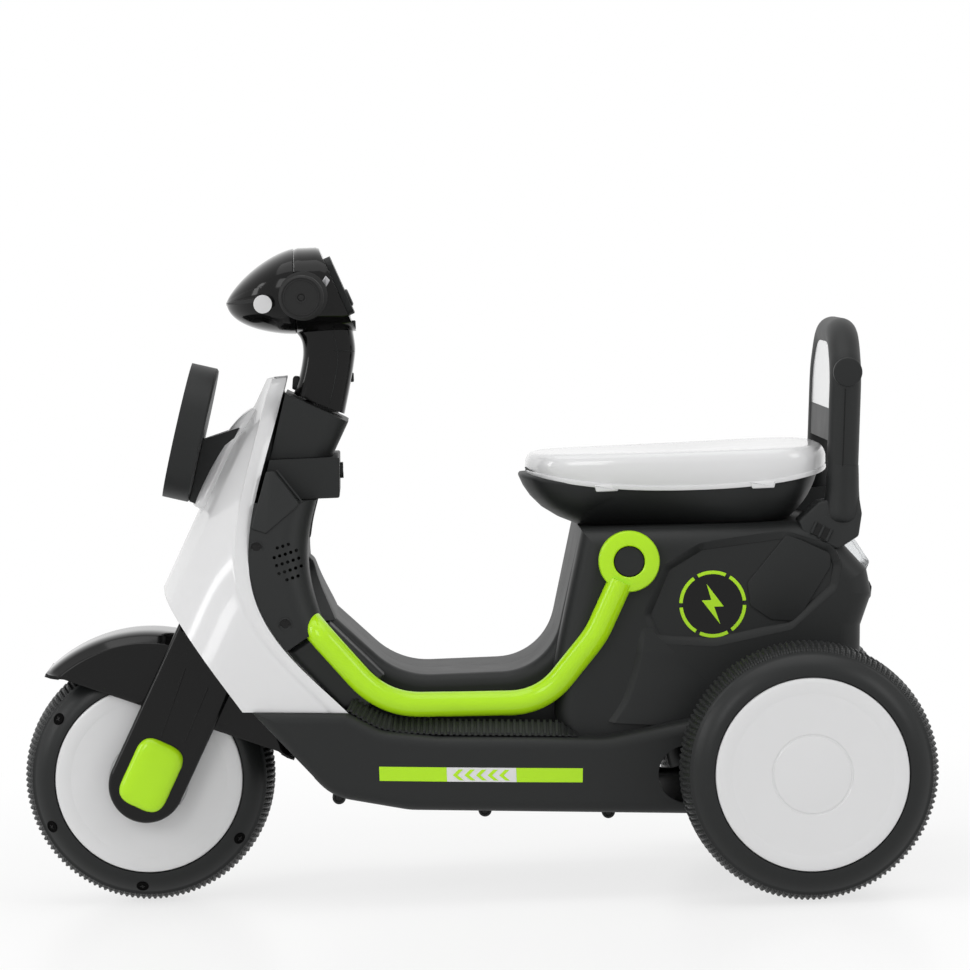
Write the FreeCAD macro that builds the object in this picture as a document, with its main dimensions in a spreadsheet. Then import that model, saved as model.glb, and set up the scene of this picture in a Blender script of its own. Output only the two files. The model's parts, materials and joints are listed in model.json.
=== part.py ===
"""Child's electric three-wheel scooter: one front wheel, two rear wheels, step-through body.

Frame: +X forward, +Y to the rider's left, +Z up, origin on the floor in the middle of the wheelbase.
The front group is laid out across (u) and along (w) the raked steering axis, which runs
through the front axle. All other pieces are placed from the front axle, the rear axle and the axle height.
"""
import FreeCAD, Part
import math
import os
import Sketcher

Vec = FreeCAD.Vector
doc = FreeCAD.newDocument("electric_scooter")

# Driving sizes, in millimetres and degrees. Heights are above the axles unless the name says otherwise.
SIZES = {
    # wheels
    "wheelbase": 480, "tyre_radius": 93, "tread_half": 9, "tyre_wall": 3,
    "disc_radius": 69.5, "disc_thickness": 3, "disc_ring_radius": 28.4, "hub_radius": 13,
    "axle_radius": 5, "running_gap": 0.06, "seat_gap": 0.25,
    "front_wheel_half": 36, "rear_wheel_inner": 116, "rear_wheel_outer": 181,
    # fork, fender and steering column
    "rake": 27, "fork_inner": 43, "fork_thickness": 12, "fork_half": 28, "fork_foot": 31, "fork_top": 116,
    "cap_length": 52, "cap_width": 36, "cap_thickness": 8, "cap_lift": 6, "nut_radius": 8,
    "fender_gap": 14, "fender_wall": 2.8, "fender_inner_half": 39.9, "fender_chord": 51, "fender_tilt": 21,
    "crown_half": 16, "crown_thickness": 7, "column_radius": 8, "column_bore": 5.5, "column_top": 340,
    "web_height": 208, "web_thickness": 6, "bush_radius": 12, "bush_length": 12, "bush_flange": 2.5,
    # stem, nacelle, handlebar and dash
    "bar_forward": 45.5, "bar_height": 374, "bar_radius": 8, "bar_bore": 6, "grip_radius": 15,
    "grip_start": 64, "grip_end": 156, "nacelle_nose": 57, "nacelle_top": 35,
    "nacelle_bottom": 29, "nacelle_half": 54,
    "nacelle_wall": 2.5, "nacelle_seam": 6, "nacelle_rear_tilt": 22, "stem_width": 50, "stem_depth": 38,
    "dash_width": 72, "dash_height": 46, "dash_thickness": 4.5, "button_radius": 6.5, "button_travel": 1.5,
    "marker_radius": 6.8, "marker_length": 9, "marker_forward": 30, "marker_drop": 5,
    # apron, leg shield, head cover, console
    "apron_nose": 50, "apron_wall": 3, "apron_half_low": 106, "apron_half_top": 40, "apron_low": 52,
    "apron_top": 294, "apron_nose_length": 75, "shield_wall": 3, "shield_top": 204, "shield_corner": 20,
    "shield_bulge": 10.5,
    "head_top": 304, "head_half": 47, "head_rear": 23.5, "head_bottom": 234.5,
    "console_half": 57, "console_rear": 150, "console_bottom": 204.5, "console_wall": 2.5,
    "power_radius": 4.5, "power_rise": 2.6, "speaker_radius": 13, "speaker_depth": 11,
    "grille_hole": 1.2, "grille_pitch": 4.2, "grille_rise": 6, "grille_tilt": 15,
    # headlamp
    "lamp_radius": 51, "lamp_depth": 20.5, "lamp_wall": 2.5, "lamp_tilt": 15, "lamp_forward": 40.5,
    "lamp_height": 254.5, "lamp_bracket_half": 17,
    # body halves
    "floor_rise": 72, "core_half": 69, "rear_half": 93, "skirt_half": 112, "body_wall": 3,
    "body_round": 9, "rear_round": 16, "riser_round": 5,
    "skirt_top_front": 31, "skirt_top_rear": 25, "skirt_bottom_front": 22.5, "skirt_bottom_rear": 34,
    "tower_front": 154, "tower_top": 175, "tail_rear": 54, "skirt_tail": 38, "window_radius": 21,
    "tray_height": 18,
    # frame tubes and foot grips
    "tube_radius": 10, "tube_low_side": 82, "tube_high_side": 97, "tube_low": 52, "ring_radius": 22.3,
    "ring_bore": 11.2, "ring_forward": 121, "ring_height": 152, "ring_thickness": 10,
    "grip_strip_length": 115, "grip_strip_width": 9.5, "grip_strip_height": 10, "grip_rib_pitch": 5,
    # seat and backrest
    "seat_front": 194, "seat_rear": 32, "seat_top": 229, "seat_dip": 201,
    "seat_half_front": 62, "seat_half_rear": 91,
    "seat_edge_round": 9, "seat_wall": 3.5, "base_floor": 175, "base_wall": 3,
    "hoop_radius": 11.5, "hoop_half": 77, "hoop_foot": 181, "hoop_rise": 129, "hoop_back": 37,
    "hoop_lean": 4,
    "panel_thickness": 8, "panel_forward": 2, "panel_start": 51, "panel_split": 75,
    "socket_wall": 4, "socket_low": 147, "socket_lap": 14,
    # rear trim
    "cover_thickness": 2.5, "cover_gap": 1.2, "recess_depth": 6, "lamp_tail_half": 36,
    # drive
    "motor_radius": 14, "motor_length": 38, "battery_length": 100, "battery_width": 70, "battery_height": 47,
    "gear_face": 7, "case_wall": 2,
}
sheet = doc.addObject("Spreadsheet::Sheet", "sizes")
for row, (alias, amount) in enumerate(SIZES.items(), start=1):
    sheet.set(f"A{row}", alias.replace("_", " "))
    sheet.set(f"B{row}", str(amount))
    sheet.setAlias(f"B{row}", alias)
doc.recompute()


class Sizes:
    """Plain numbers read back from the sheet."""


d = Sizes()
for alias in SIZES:
    setattr(d, alias, float(sheet.get(alias)))

AXIS_X = Vec(1, 0, 0)
AXIS_Y = Vec(0, 1, 0)
AXIS_Z = Vec(0, 0, 1)
front_x = d.wheelbase / 2
rear_x = -d.wheelbase / 2
axle_z = d.tyre_radius
rake = math.radians(d.rake)
SIDES = (("left", 1), ("right", -1))
NODES = []


def front(dx):
    return front_x + dx


def rear(dx):
    return rear_x + dx


def up(dz):
    return axle_z + dz


def steer(u, w):
    """x and z of the point u ahead of the steering axis and w up along it."""
    ahead = u * math.cos(rake) - w * math.sin(rake)
    rise = u * math.sin(rake) + w * math.cos(rake)
    return (front_x + ahead, axle_z + rise)


STEERING = FreeCAD.Placement(Vec(front_x, 0, axle_z), FreeCAD.Rotation(Vec(0, -1, 0), d.rake))


def bind(obj, **expressions):
    for prop, text in expressions.items():
        obj.setExpression(prop.replace("__", "."), text)


def keep(obj, label):
    obj.Label = label
    NODES.append(obj)
    return obj


def at_front_axle(obj, raked=False, tilt=None):
    """Place a node on the front axle, bound to the sheet."""
    turn = FreeCAD.Rotation()
    if raked:
        turn = FreeCAD.Rotation(Vec(0, -1, 0), d.rake)
    if tilt:
        turn = FreeCAD.Rotation(Vec(0, -1, 0), getattr(d, tilt))
    obj.Placement = FreeCAD.Placement(Vec(front_x, 0, axle_z), turn)
    bind(obj, Placement__Base__x="sizes.wheelbase / 2", Placement__Base__z="sizes.tyre_radius")
    if raked or tilt:
        bind(obj, Placement__Rotation__Angle=f"sizes.{tilt or 'rake'} * 1 deg")


def at_rear_axle(obj):
    obj.Placement = FreeCAD.Placement(Vec(rear_x, 0, axle_z), FreeCAD.Rotation())
    bind(obj, Placement__Base__x="-sizes.wheelbase / 2", Placement__Base__z="sizes.tyre_radius")


# PartDesign helpers
def body(label):
    return keep(doc.addObject("PartDesign::Body", label), label)


def sketch(owner, role, offset=None):
    made = owner.newObject("Sketcher::SketchObject", owner.Name + "_sketch")
    made.AttachmentSupport = [(next(p for p in owner.Origin.OriginFeatures if p.Role == role), "")]
    made.MapMode = "FlatFace"
    if offset:
        made.setExpression("AttachmentOffset.Base.z", offset)
    return made


def number(owner, text):
    return float(owner.evalExpression(text))


def pin(made, geometry, point, across, along):
    """Bind one sketch point to two sheet expressions."""
    for kind, text in (("DistanceX", across), ("DistanceY", along)):
        index = made.addConstraint(Sketcher.Constraint(kind, -1, 1, geometry, point, number(made, text)))
        made.setExpression(f"Constraints[{index}]", text)


def circle(made, across, along, radius):
    place = Vec(number(made, across), number(made, along), 0)
    index = made.addGeometry(Part.Circle(place, AXIS_Z, number(made, radius)))
    pin(made, index, 3, across, along)
    limit = made.addConstraint(Sketcher.Constraint("Radius", index, number(made, radius)))
    made.setExpression(f"Constraints[{limit}]", radius)


def polygon(made, corners):
    points = [Vec(number(made, a), number(made, b), 0) for a, b in corners]
    first = made.GeometryCount
    count = len(points)
    for a, b in zip(points, points[1:] + points[:1]):
        made.addGeometry(Part.LineSegment(a, b))
    for index in range(count):
        after = first + (index + 1) % count
        made.addConstraint(Sketcher.Constraint("Coincident", first + index, 2, after, 1))
    for index, (a, b) in enumerate(corners):
        pin(made, first + index, 1, a, b)


def outline(made, steps):
    """Sketch lines and arcs: each step is an end point, or a middle and an end point for an arc."""
    here = steps[0][-1]
    for step in steps[1:]:
        if len(step) == 1:
            made.addGeometry(Part.LineSegment(here, step[0]))
        else:
            made.addGeometry(Part.Arc(here, step[0], step[1]))
        here = step[-1]


def pad(owner, made, length, midplane=False, flipped=False):
    feature = owner.newObject("PartDesign::Pad", owner.Name + "_pad")
    feature.Profile = made
    feature.setExpression("Length", length)
    feature.Midplane = midplane
    feature.Reversed = flipped
    made.Visibility = False
    doc.recompute()
    return feature


def pocket(owner, made, length=None, midplane=False, flipped=False):
    feature = owner.newObject("PartDesign::Pocket", owner.Name + "_pocket")
    feature.Profile = made
    feature.Midplane = midplane
    feature.Reversed = flipped
    if length:
        feature.setExpression("Length", length)
    else:
        feature.Type = "ThroughAll"
    before = owner.Tip.BaseFeature.Shape.Volume if owner.Tip.BaseFeature else None
    doc.recompute()
    if before is not None and abs(before - feature.Shape.Volume) < 1e-6:
        raise RuntimeError(f"{owner.Label}: a pocket cuts nothing")
    return feature


def revolution(owner, made):
    feature = owner.newObject("PartDesign::Revolution", owner.Name + "_turned")
    feature.Profile = made
    feature.ReferenceAxis = (made, ["V_Axis"])
    feature.Angle = 360
    doc.recompute()
    return feature


def soften(owner, feature, wanted, radius):
    """Fillet the edges of a feature that the test picks."""
    names = [f"Edge{n}" for n, edge in enumerate(feature.Shape.Edges, start=1) if wanted(edge)]
    made = owner.newObject("PartDesign::Fillet", owner.Name + "_round")
    made.Base = (feature, names)
    made.setExpression("Radius", radius)
    doc.recompute()
    return made


# Part helpers
def node(label, shape):
    made = doc.addObject("Part::Feature", label)
    made.Shape = shape
    return keep(made, label)


def corner_wire(corners, y=0.0):
    """Closed wire in an XZ plane; each corner is x, z and a corner radius."""
    count = len(corners)
    points = [Vec(x, y, z) for x, z, r in corners]
    edges = []
    starts = []
    ends = []
    for index in range(count):
        before = (points[index - 1] - points[index]).normalize()
        after = (points[(index + 1) % count] - points[index]).normalize()
        radius = corners[index][2]
        if radius <= 0:
            starts.append(points[index])
            ends.append(points[index])
            continue
        half = before.getAngle(after) / 2
        reach = radius / math.tan(half)
        starts.append(points[index] + before * reach)
        ends.append(points[index] + after * reach)
    for index in range(count):
        if corners[index][2] > 0:
            before = (starts[index] - points[index]).normalize()
            after = (ends[index] - points[index]).normalize()
            half = before.getAngle(after) / 2
            away = (before + after).normalize()
            middle = points[index] + away * (corners[index][2] / math.sin(half) - corners[index][2])
            edges.append(Part.Arc(starts[index], middle, ends[index]).toShape())
        following = (index + 1) % count
        if (starts[following] - ends[index]).Length > 1e-6:
            edges.append(Part.LineSegment(ends[index], starts[following]).toShape())
    return Part.Wire(edges)


def prism(corners, y_from, y_to):
    return Part.Face(corner_wire(corners, y_from)).extrude(Vec(0, y_to - y_from, 0))


def inset_prism(corners, amount, y_from, y_to):
    """Prism of the outline drawn in by an amount, or grown where the amount is negative."""
    wire = corner_wire(corners, y_from)
    area = Part.Face(wire).Area
    for sign in (-1, 1):
        face = Part.Face(wire.makeOffset2D(sign * amount))
        if (face.Area < area) == (amount > 0):
            return face.extrude(Vec(0, y_to - y_from, 0))
    raise RuntimeError("the wall is thicker than the outline")


def round_side(solid, y, radius):
    """Round every edge of a prism that lies in the plane at y."""
    edges = [e for e in solid.Edges if all(abs(v.Point.y - y) < 1e-6 for v in e.Vertexes)]
    return solid.makeFillet(radius, edges)


def tube(base, axis, outer, bore, length):
    return Part.makeCylinder(outer, length, base, axis).cut(Part.makeCylinder(bore, length, base, axis))


def cross_rod(x, z, radius, y_from, y_to):
    return Part.makeCylinder(radius, y_to - y_from, Vec(x, y_from, z), AXIS_Y)


def box(x0, x1, y0, y1, z0, z1):
    return Part.makeBox(x1 - x0, y1 - y0, z1 - z0, Vec(x0, y0, z0))


def mirrored(shape):
    return shape.mirror(Vec(0, 0, 0), AXIS_Y)


def spline(points, closed=False):
    curve = Part.BSplineCurve()
    curve.interpolate(points, PeriodicFlag=closed)
    return curve.toShape()


def straight(start, finish):
    return Part.LineSegment(start, finish).toShape()


def loft(wires):
    return Part.makeLoft(wires, True)


def bent_rod(corners, radius):
    """Round rod along straight runs joined by tangent arcs; each corner is a point and a bend radius."""
    points = [place for place, bend in corners]
    pieces = []
    here = points[0]
    for index in range(1, len(points) - 1):
        before = (points[index - 1] - points[index]).normalize()
        after = (points[index + 1] - points[index]).normalize()
        half = before.getAngle(after) / 2
        bend = corners[index][1]
        start = points[index] + before * (bend / math.tan(half))
        finish = points[index] + after * (bend / math.tan(half))
        centre = points[index] + (before + after).normalize() * (bend / math.sin(half))
        pieces.append(Part.makeCylinder(radius, (start - here).Length, here, start - here))
        section = Part.Face(Part.Wire([Part.makeCircle(radius, start, before)]))
        turn = 180 - math.degrees(2 * half)
        pieces.append(section.revolve(centre, after.cross(before), turn))
        here = finish
    pieces.append(Part.makeCylinder(radius, (points[-1] - here).Length, here, points[-1] - here))
    return pieces[0].fuse(pieces[1:]).removeSplitter()


# Wheels
def tyre_steps(half):
    """Section of a tyre moulding, from the bore to the tread and back: x is radius, y is across."""
    outer = d.tyre_radius
    bore = d.axle_radius + d.running_gap
    lip = d.disc_radius - 9
    well = half - d.disc_thickness - d.seat_gap
    inner = outer - 2 * d.tyre_wall
    steps = [[Vec(bore, 8 - half)], [Vec(bore, half - 8)], [Vec(d.hub_radius, half - 8)],
             [Vec(d.hub_radius, 2)], [Vec(inner, 2)]]
    side = [[Vec(inner, d.tread_half)], [Vec(d.disc_radius + 1, well - d.tyre_wall)],
            [Vec(lip, well - d.tyre_wall)], [Vec(lip, well)], [Vec(d.disc_radius + 0.5, well)],
            [Vec(d.disc_radius + 0.5, half)],
            [Vec(outer - 8, half - 10), Vec(outer - 1.2, d.tread_half + 2)], [Vec(outer, d.tread_half)]]
    steps += side
    mirror = [[Vec(p.x, -p.y) for p in step] for step in side]
    back = [[Vec(outer, -d.tread_half)], [mirror[6][1]], [mirror[6][0], mirror[5][0]]]
    back += [mirror[n] for n in (4, 3, 2, 1, 0)]
    steps += back
    steps += [[Vec(inner, -2)], [Vec(d.hub_radius, -2)], [Vec(d.hub_radius, 8 - half)], [Vec(bore, 8 - half)]]
    return steps


def tyre(label, half):
    made = body(label)
    section = sketch(made, "XY_Plane")
    outline(section, tyre_steps(half))
    revolution(made, section)
    return made


def disc_shape(half, bore):
    """Wheel disc with a shallow ring groove; its face looks along +Y."""
    top = half
    ring = d.disc_ring_radius
    back = top - d.disc_thickness
    corners = [(bore, back), (d.disc_radius, back), (d.disc_radius, top - 1.5), (d.disc_radius - 1.5, top),
               (ring + 1.2, top + 1), (ring, top - 0.2), (ring - 1.2, top + 1),
               (bore, top + 1)]
    wire = Part.makePolygon([Vec(r, y, 0) for r, y in corners + corners[:1]])
    return Part.Face(wire).revolve(Vec(0, 0, 0), AXIS_Y, 360)


front_tyre = tyre("front_tyre", d.front_wheel_half)
at_front_axle(front_tyre)
front_disc = disc_shape(d.front_wheel_half, d.axle_radius + 1)
front_discs = node("front_discs", Part.Compound([front_disc, mirrored(front_disc)]))
at_front_axle(front_discs)

rear_half = (d.rear_wheel_outer - d.rear_wheel_inner) / 2
rear_middle = (d.rear_wheel_outer + d.rear_wheel_inner) / 2
for name, side in SIDES:
    moulding = tyre(f"rear_tyre_{name}", rear_half)
    at_rear_axle(moulding)
    offset = "(sizes.rear_wheel_outer + sizes.rear_wheel_inner) / 2"
    moulding.Placement.Base.y = side * rear_middle
    bind(moulding, Placement__Base__y=f"{side} * {offset}")
    face = disc_shape(rear_half, 0)
    if side < 0:
        face = mirrored(face)
    cap = node(f"rear_disc_{name}", face)
    cap.Placement = FreeCAD.Placement(Vec(rear_x, side * rear_middle, axle_z), FreeCAD.Rotation())

# Front axle and its push nuts
axle = keep(doc.addObject("Part::Cylinder", "front_axle"), "front_axle")
reach = "(sizes.fork_inner + sizes.fork_thickness + 4)"
bind(axle, Radius="sizes.axle_radius", Height=f"2 * {reach}")
axle.Placement = FreeCAD.Placement(Vec(front_x, -1, axle_z), FreeCAD.Rotation(AXIS_X, -90))
bind(axle, Placement__Base__x="sizes.wheelbase / 2", Placement__Base__y=f"-{reach}",
     Placement__Base__z="sizes.tyre_radius")
fork_outer = d.fork_inner + d.fork_thickness
nut = tube(Vec(0, fork_outer, 0), AXIS_Y, d.nut_radius, d.axle_radius, 4)
nuts = node("front_axle_nuts", Part.Compound([nut, mirrored(nut)]))
at_front_axle(nuts)


# Fork legs, axle caps, fender, column
def facing_out(y):
    return lambda edge: all(abs(v.Point.y - y) < 1e-6 for v in edge.Vertexes)


def running_along(axis):
    """Test for edges that run along one axis."""
    return lambda edge: abs(getattr(edge.tangentAt(edge.FirstParameter), axis)) > 0.99


for name, side in SIDES:
    leg = body(f"fork_{name}")
    plane = "-(sizes.fork_inner + sizes.fork_thickness)" if side > 0 else "sizes.fork_inner"
    shape = sketch(leg, "XZ_Plane", plane)
    drop = d.fork_half - d.fork_foot
    outline(shape, [[Vec(d.fork_half, d.fork_top)], [Vec(-d.fork_half, d.fork_top)],
                    [Vec(-d.fork_half, drop)], [Vec(0, -d.fork_foot), Vec(d.fork_half, drop)],
                    [Vec(d.fork_half, d.fork_top)]])
    slab = pad(leg, shape, "sizes.fork_thickness")
    soften(leg, slab, facing_out(side * fork_outer), "sizes.fork_thickness / 3")
    hole = sketch(leg, "XZ_Plane")
    circle(hole, "0", "0", "sizes.axle_radius")
    pocket(leg, hole, midplane=True)
    at_front_axle(leg, raked=True)

    cap = body(f"fork_cap_{name}")
    plane = ("-(sizes.fork_inner + sizes.fork_thickness + sizes.cap_thickness)" if side > 0 else
             "sizes.fork_inner + sizes.fork_thickness")
    shape = sketch(cap, "XZ_Plane", plane)
    across = "sizes.cap_width / 2"
    low = "sizes.cap_lift - sizes.cap_length / 2"
    high = "sizes.cap_lift + sizes.cap_length / 2"
    polygon(shape, [(across, low), (across, high), ("-" + across, high), ("-" + across, low)])
    slab = pad(cap, shape, "sizes.cap_thickness")
    upright = soften(cap, slab, running_along("y"), "sizes.cap_width * 0.36")
    cap_face = side * (fork_outer + d.cap_thickness)
    soften(cap, upright, facing_out(cap_face), "sizes.cap_thickness * 0.6")
    hollow = sketch(cap, "XZ_Plane", "-sizes.fork_inner - sizes.fork_thickness" if side > 0 else
                    "sizes.fork_inner + sizes.fork_thickness")
    circle(hollow, "0", "0", "sizes.nut_radius + 0.5")
    pocket(cap, hollow, "4.5", flipped=side < 0)
    at_front_axle(cap, raked=True)

fender = body("front_fender")
inner_r = d.tyre_radius + d.fender_gap
outer_r = inner_r + d.fender_wall
inner_y = d.fender_inner_half
outer_y = inner_y + d.fender_wall
bend = 9
foot = d.fender_chord / 2
tuck = bend * (1 - math.sqrt(0.5))
section = sketch(fender, "XY_Plane")
outline(section, [
    [Vec(foot, outer_y)], [Vec(outer_r - bend, outer_y)],
    [Vec(outer_r - tuck, outer_y - tuck), Vec(outer_r, outer_y - bend)], [Vec(outer_r, bend - outer_y)],
    [Vec(outer_r - tuck, tuck - outer_y), Vec(outer_r - bend, -outer_y)], [Vec(foot, -outer_y)],
    [Vec(foot, -inner_y)], [Vec(inner_r - bend, -inner_y)],
    [Vec(inner_r - tuck, tuck - inner_y), Vec(inner_r, bend - inner_y)], [Vec(inner_r, inner_y - bend)],
    [Vec(inner_r - tuck, inner_y - tuck), Vec(inner_r - bend, inner_y)], [Vec(foot, inner_y)],
    [Vec(foot, outer_y)]])
revolution(fender, section)
chord = sketch(fender, "XZ_Plane")
far = "2 * sizes.tyre_radius"
polygon(chord, [("-" + far, "-" + far), (far, "-" + far), (far, "sizes.fender_chord"),
                ("-" + far, "sizes.fender_chord")])
pocket(fender, chord, midplane=True)
at_front_axle(fender, tilt="fender_tilt")

column = body("steering_column")
plate = sketch(column, "XY_Plane", "sizes.fork_top")
crown_reach = "sizes.fork_inner + sizes.fork_thickness - 2"
polygon(plate, [("sizes.crown_half", f"-({crown_reach})"), ("sizes.crown_half", crown_reach),
                ("-sizes.crown_half", crown_reach), ("-sizes.crown_half", f"-({crown_reach})")])
crown = pad(column, plate, "sizes.crown_thickness")
soften(column, crown, running_along("z"), "sizes.crown_half * 0.9")
post = sketch(column, "XY_Plane", "sizes.fork_top")
circle(post, "0", "0", "sizes.column_radius")
pad(column, post, "sizes.column_top - sizes.fork_top")
bore = sketch(column, "XY_Plane", "sizes.column_top")
circle(bore, "0", "0", "sizes.column_bore")
pocket(column, bore, "sizes.column_top - sizes.fork_top - sizes.crown_thickness")
at_front_axle(column, raked=True)

# Steering bushes: one in the leg shield's web, one in the head cover's roof
web_high = d.web_height + d.web_thickness
bush_places = (web_high + d.seat_gap, d.head_top + d.seat_gap)
bushes = []
for top in bush_places:
    bore = d.column_radius + d.running_gap
    flange = tube(Vec(0, 0, top), AXIS_Z, d.bush_radius + d.bush_flange, bore, d.bush_flange)
    sleeve = tube(Vec(0, 0, top - d.bush_length), AXIS_Z, d.bush_radius, bore, d.bush_length)
    bushes.append(flange.fuse(sleeve).removeSplitter())
steering_bushes = node("steering_bushes", Part.Compound(bushes))
at_front_axle(steering_bushes, raked=True)

# Handlebar group, laid out from the bar's own centre
bar_x, bar_z = steer(d.bar_forward, d.bar_height)
COWL_POWER = {"top": 1.4, "bottom": 1.8, "side": 1.9}
NOSE_DROP = 7.0
CROSS_POWER = 2.6


def nose_fall(s, power):
    return max(0.0, 1 - s ** power) ** (1 / power)


def cowl_section(x, wall):
    """Closed cross-section of the headlight nacelle at x ahead of the bar."""
    begin = d.nacelle_seam - 1
    s = min(0.985, max(0.0, (x - begin) / (d.nacelle_nose - begin)))
    middle = 3 - NOSE_DROP * s * s
    top = (d.nacelle_top - 3) * nose_fall(s, COWL_POWER["top"]) - wall
    low = (d.nacelle_bottom + 3) * nose_fall(s, COWL_POWER["bottom"]) - wall
    side = d.nacelle_half * nose_fall(s, COWL_POWER["side"]) - wall
    if x < begin:
        side -= (begin - x) * 0.12
    points = []
    for step in range(24):
        turn = 2 * math.pi * step / 24
        c, n = math.cos(turn), math.sin(turn)
        y = side * math.copysign(abs(c) ** (2 / CROSS_POWER), c)
        z = (top if n > 0 else low) * math.copysign(abs(n) ** (2 / CROSS_POWER), n)
        points.append(Vec(bar_x + x, y, bar_z + middle + z))
    return Part.Wire([spline(points, True)])


def cowl(places, wall):
    return loft([cowl_section(x, wall) for x in places])


seam = d.nacelle_seam
span = d.nacelle_nose - seam
front_places = [seam] + [seam + span * part for part in (0.3, 0.55, 0.75, 0.9, 0.975)]
nacelle_skin = cowl(front_places, 0)
hollow_places = [seam - 1] + [seam + span * part for part in (0.3, 0.55, 0.75, 0.88)]
nacelle_shape = nacelle_skin.cut(cowl(hollow_places, d.nacelle_wall))
bar_bore = cross_rod(bar_x, bar_z, d.bar_radius, -d.nacelle_half - 20, d.nacelle_half + 20)
nacelle_shape = nacelle_shape.cut(bar_bore)
node("nacelle", nacelle_shape)

# Rear cowl with the stem: its back is the dash plane
tilt = math.radians(d.nacelle_rear_tilt)
dash_top = (bar_x - 12, bar_z + d.nacelle_top)
slope = math.tan(tilt)
cowl_back = 40.0
rear_places = [-cowl_back, -cowl_back / 2, seam - d.seat_gap]
rear_skin = cowl(rear_places, 0)
drop_z = d.nacelle_top + d.nacelle_bottom + 20
behind = [(dash_top[0] + 20 * slope, dash_top[1] + 20), (dash_top[0] - drop_z * slope, dash_top[1] - drop_z),
          (dash_top[0] - 200, dash_top[1] - drop_z), (dash_top[0] - 200, dash_top[1] + 20)]
behind_cut = prism([(x, z, 0) for x, z in behind], -d.nacelle_half - 20, d.nacelle_half + 20)
rear_skin = rear_skin.cut(behind_cut)
inner_behind = behind_cut.copy()
inner_behind.translate(Vec(d.nacelle_wall, 0, 0))
rear_hollow = cowl([-cowl_back, -cowl_back / 2, seam + 1], d.nacelle_wall).cut(inner_behind)


def stem_section(x, z, lean, width, depth):
    """Rounded section of the stem at a place on its curve, leaning back by an angle."""
    points = []
    for step in range(20):
        turn = 2 * math.pi * step / 20
        c, n = math.cos(turn), math.sin(turn)
        u = depth / 2 * math.copysign(abs(c) ** 0.72, c)
        v = width / 2 * math.copysign(abs(n) ** 0.72, n)
        points.append(Vec(x + u * math.cos(lean), v, z + u * math.sin(lean)))
    return Part.Wire([spline(points, True)])


foot_x, foot_z = steer(0, d.head_top + 3.5)
waist_x, waist_z = steer(9, d.head_top + 42)
roof_x, roof_z = bar_x - 13, bar_z - d.nacelle_bottom + 16
stem_skin = loft([stem_section(foot_x, foot_z, rake, d.stem_width, d.stem_depth),
                  stem_section(waist_x, waist_z, rake / 3, d.stem_width - 2, d.stem_depth),
                  stem_section(roof_x, roof_z, 0, d.stem_width + 6, d.stem_depth + 4)])
column_bore = Part.makeCylinder(d.column_radius, d.column_top + 0.5)
column_bore.Placement = STEERING
dash_drop = 30.0
dash_mid = (dash_top[0] - dash_drop * slope, dash_top[1] - dash_drop)
dash_turn = FreeCAD.Rotation(AXIS_Y, d.nacelle_rear_tilt)
button_places = (("horn_button", 20.0), ("music_button", -20.0))
button_drop = -11.0
key_room = []
for name, y in button_places:
    room = Part.makeCylinder(d.button_radius + 0.6, 14, Vec(-3, y, button_drop), AXIS_X)
    room.Placement = FreeCAD.Placement(Vec(dash_mid[0], 0, dash_mid[1]), dash_turn)
    key_room.append(room)
stem_skin = stem_skin.cut(behind_cut)
stem_shape = rear_skin.cut(rear_hollow).fuse(stem_skin).cut(bar_bore).cut(column_bore)
for room in key_room:
    stem_shape = stem_shape.cut(room)
node("handlebar_stem", stem_shape.removeSplitter())

bar_end = d.grip_end - 4
bar_tube = tube(Vec(0, -bar_end, 0), AXIS_Y, d.bar_radius, d.bar_bore, 2 * bar_end)
handlebar = node("handlebar_tube", bar_tube)
handlebar.Placement = FreeCAD.Placement(Vec(bar_x, 0, bar_z), FreeCAD.Rotation())


def grip_steps(slack):
    """Half section of a grip: flange by the nacelle, ribbed sleeve, closed end with a small hole."""
    bore = d.bar_radius + slack
    wide = d.grip_radius
    start = d.grip_start
    steps = [(bore, start), (wide + 3, start), (wide + 3, start + 4), (wide - 1, start + 6)]
    ribs = 9
    pitch = (d.grip_end - start - 16) / ribs
    for rib in range(ribs):
        here = start + 6 + rib * pitch
        steps += [(wide - 1, here + 0.2 * pitch), (wide, here + 0.35 * pitch), (wide, here + 0.85 * pitch),
                  (wide - 1, here + pitch)]
    steps += [(wide + 1, d.grip_end - 9), (wide + 1, d.grip_end - 2), (wide - 1, d.grip_end), (3, d.grip_end),
              (3, d.grip_end - 3.7), (bore, d.grip_end - 3.7)]
    return steps


for name, side in SIDES:
    grip = body(f"grip_{name}")
    section = sketch(grip, "XY_Plane")
    slack = 0 if side > 0 else d.running_gap
    corners = [Vec(r, side * y) for r, y in grip_steps(slack)]
    outline(section, [[p] for p in corners + corners[:1]])
    revolution(grip, section)
    grip.Placement = FreeCAD.Placement(Vec(bar_x, 0, bar_z), FreeCAD.Rotation())

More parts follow.
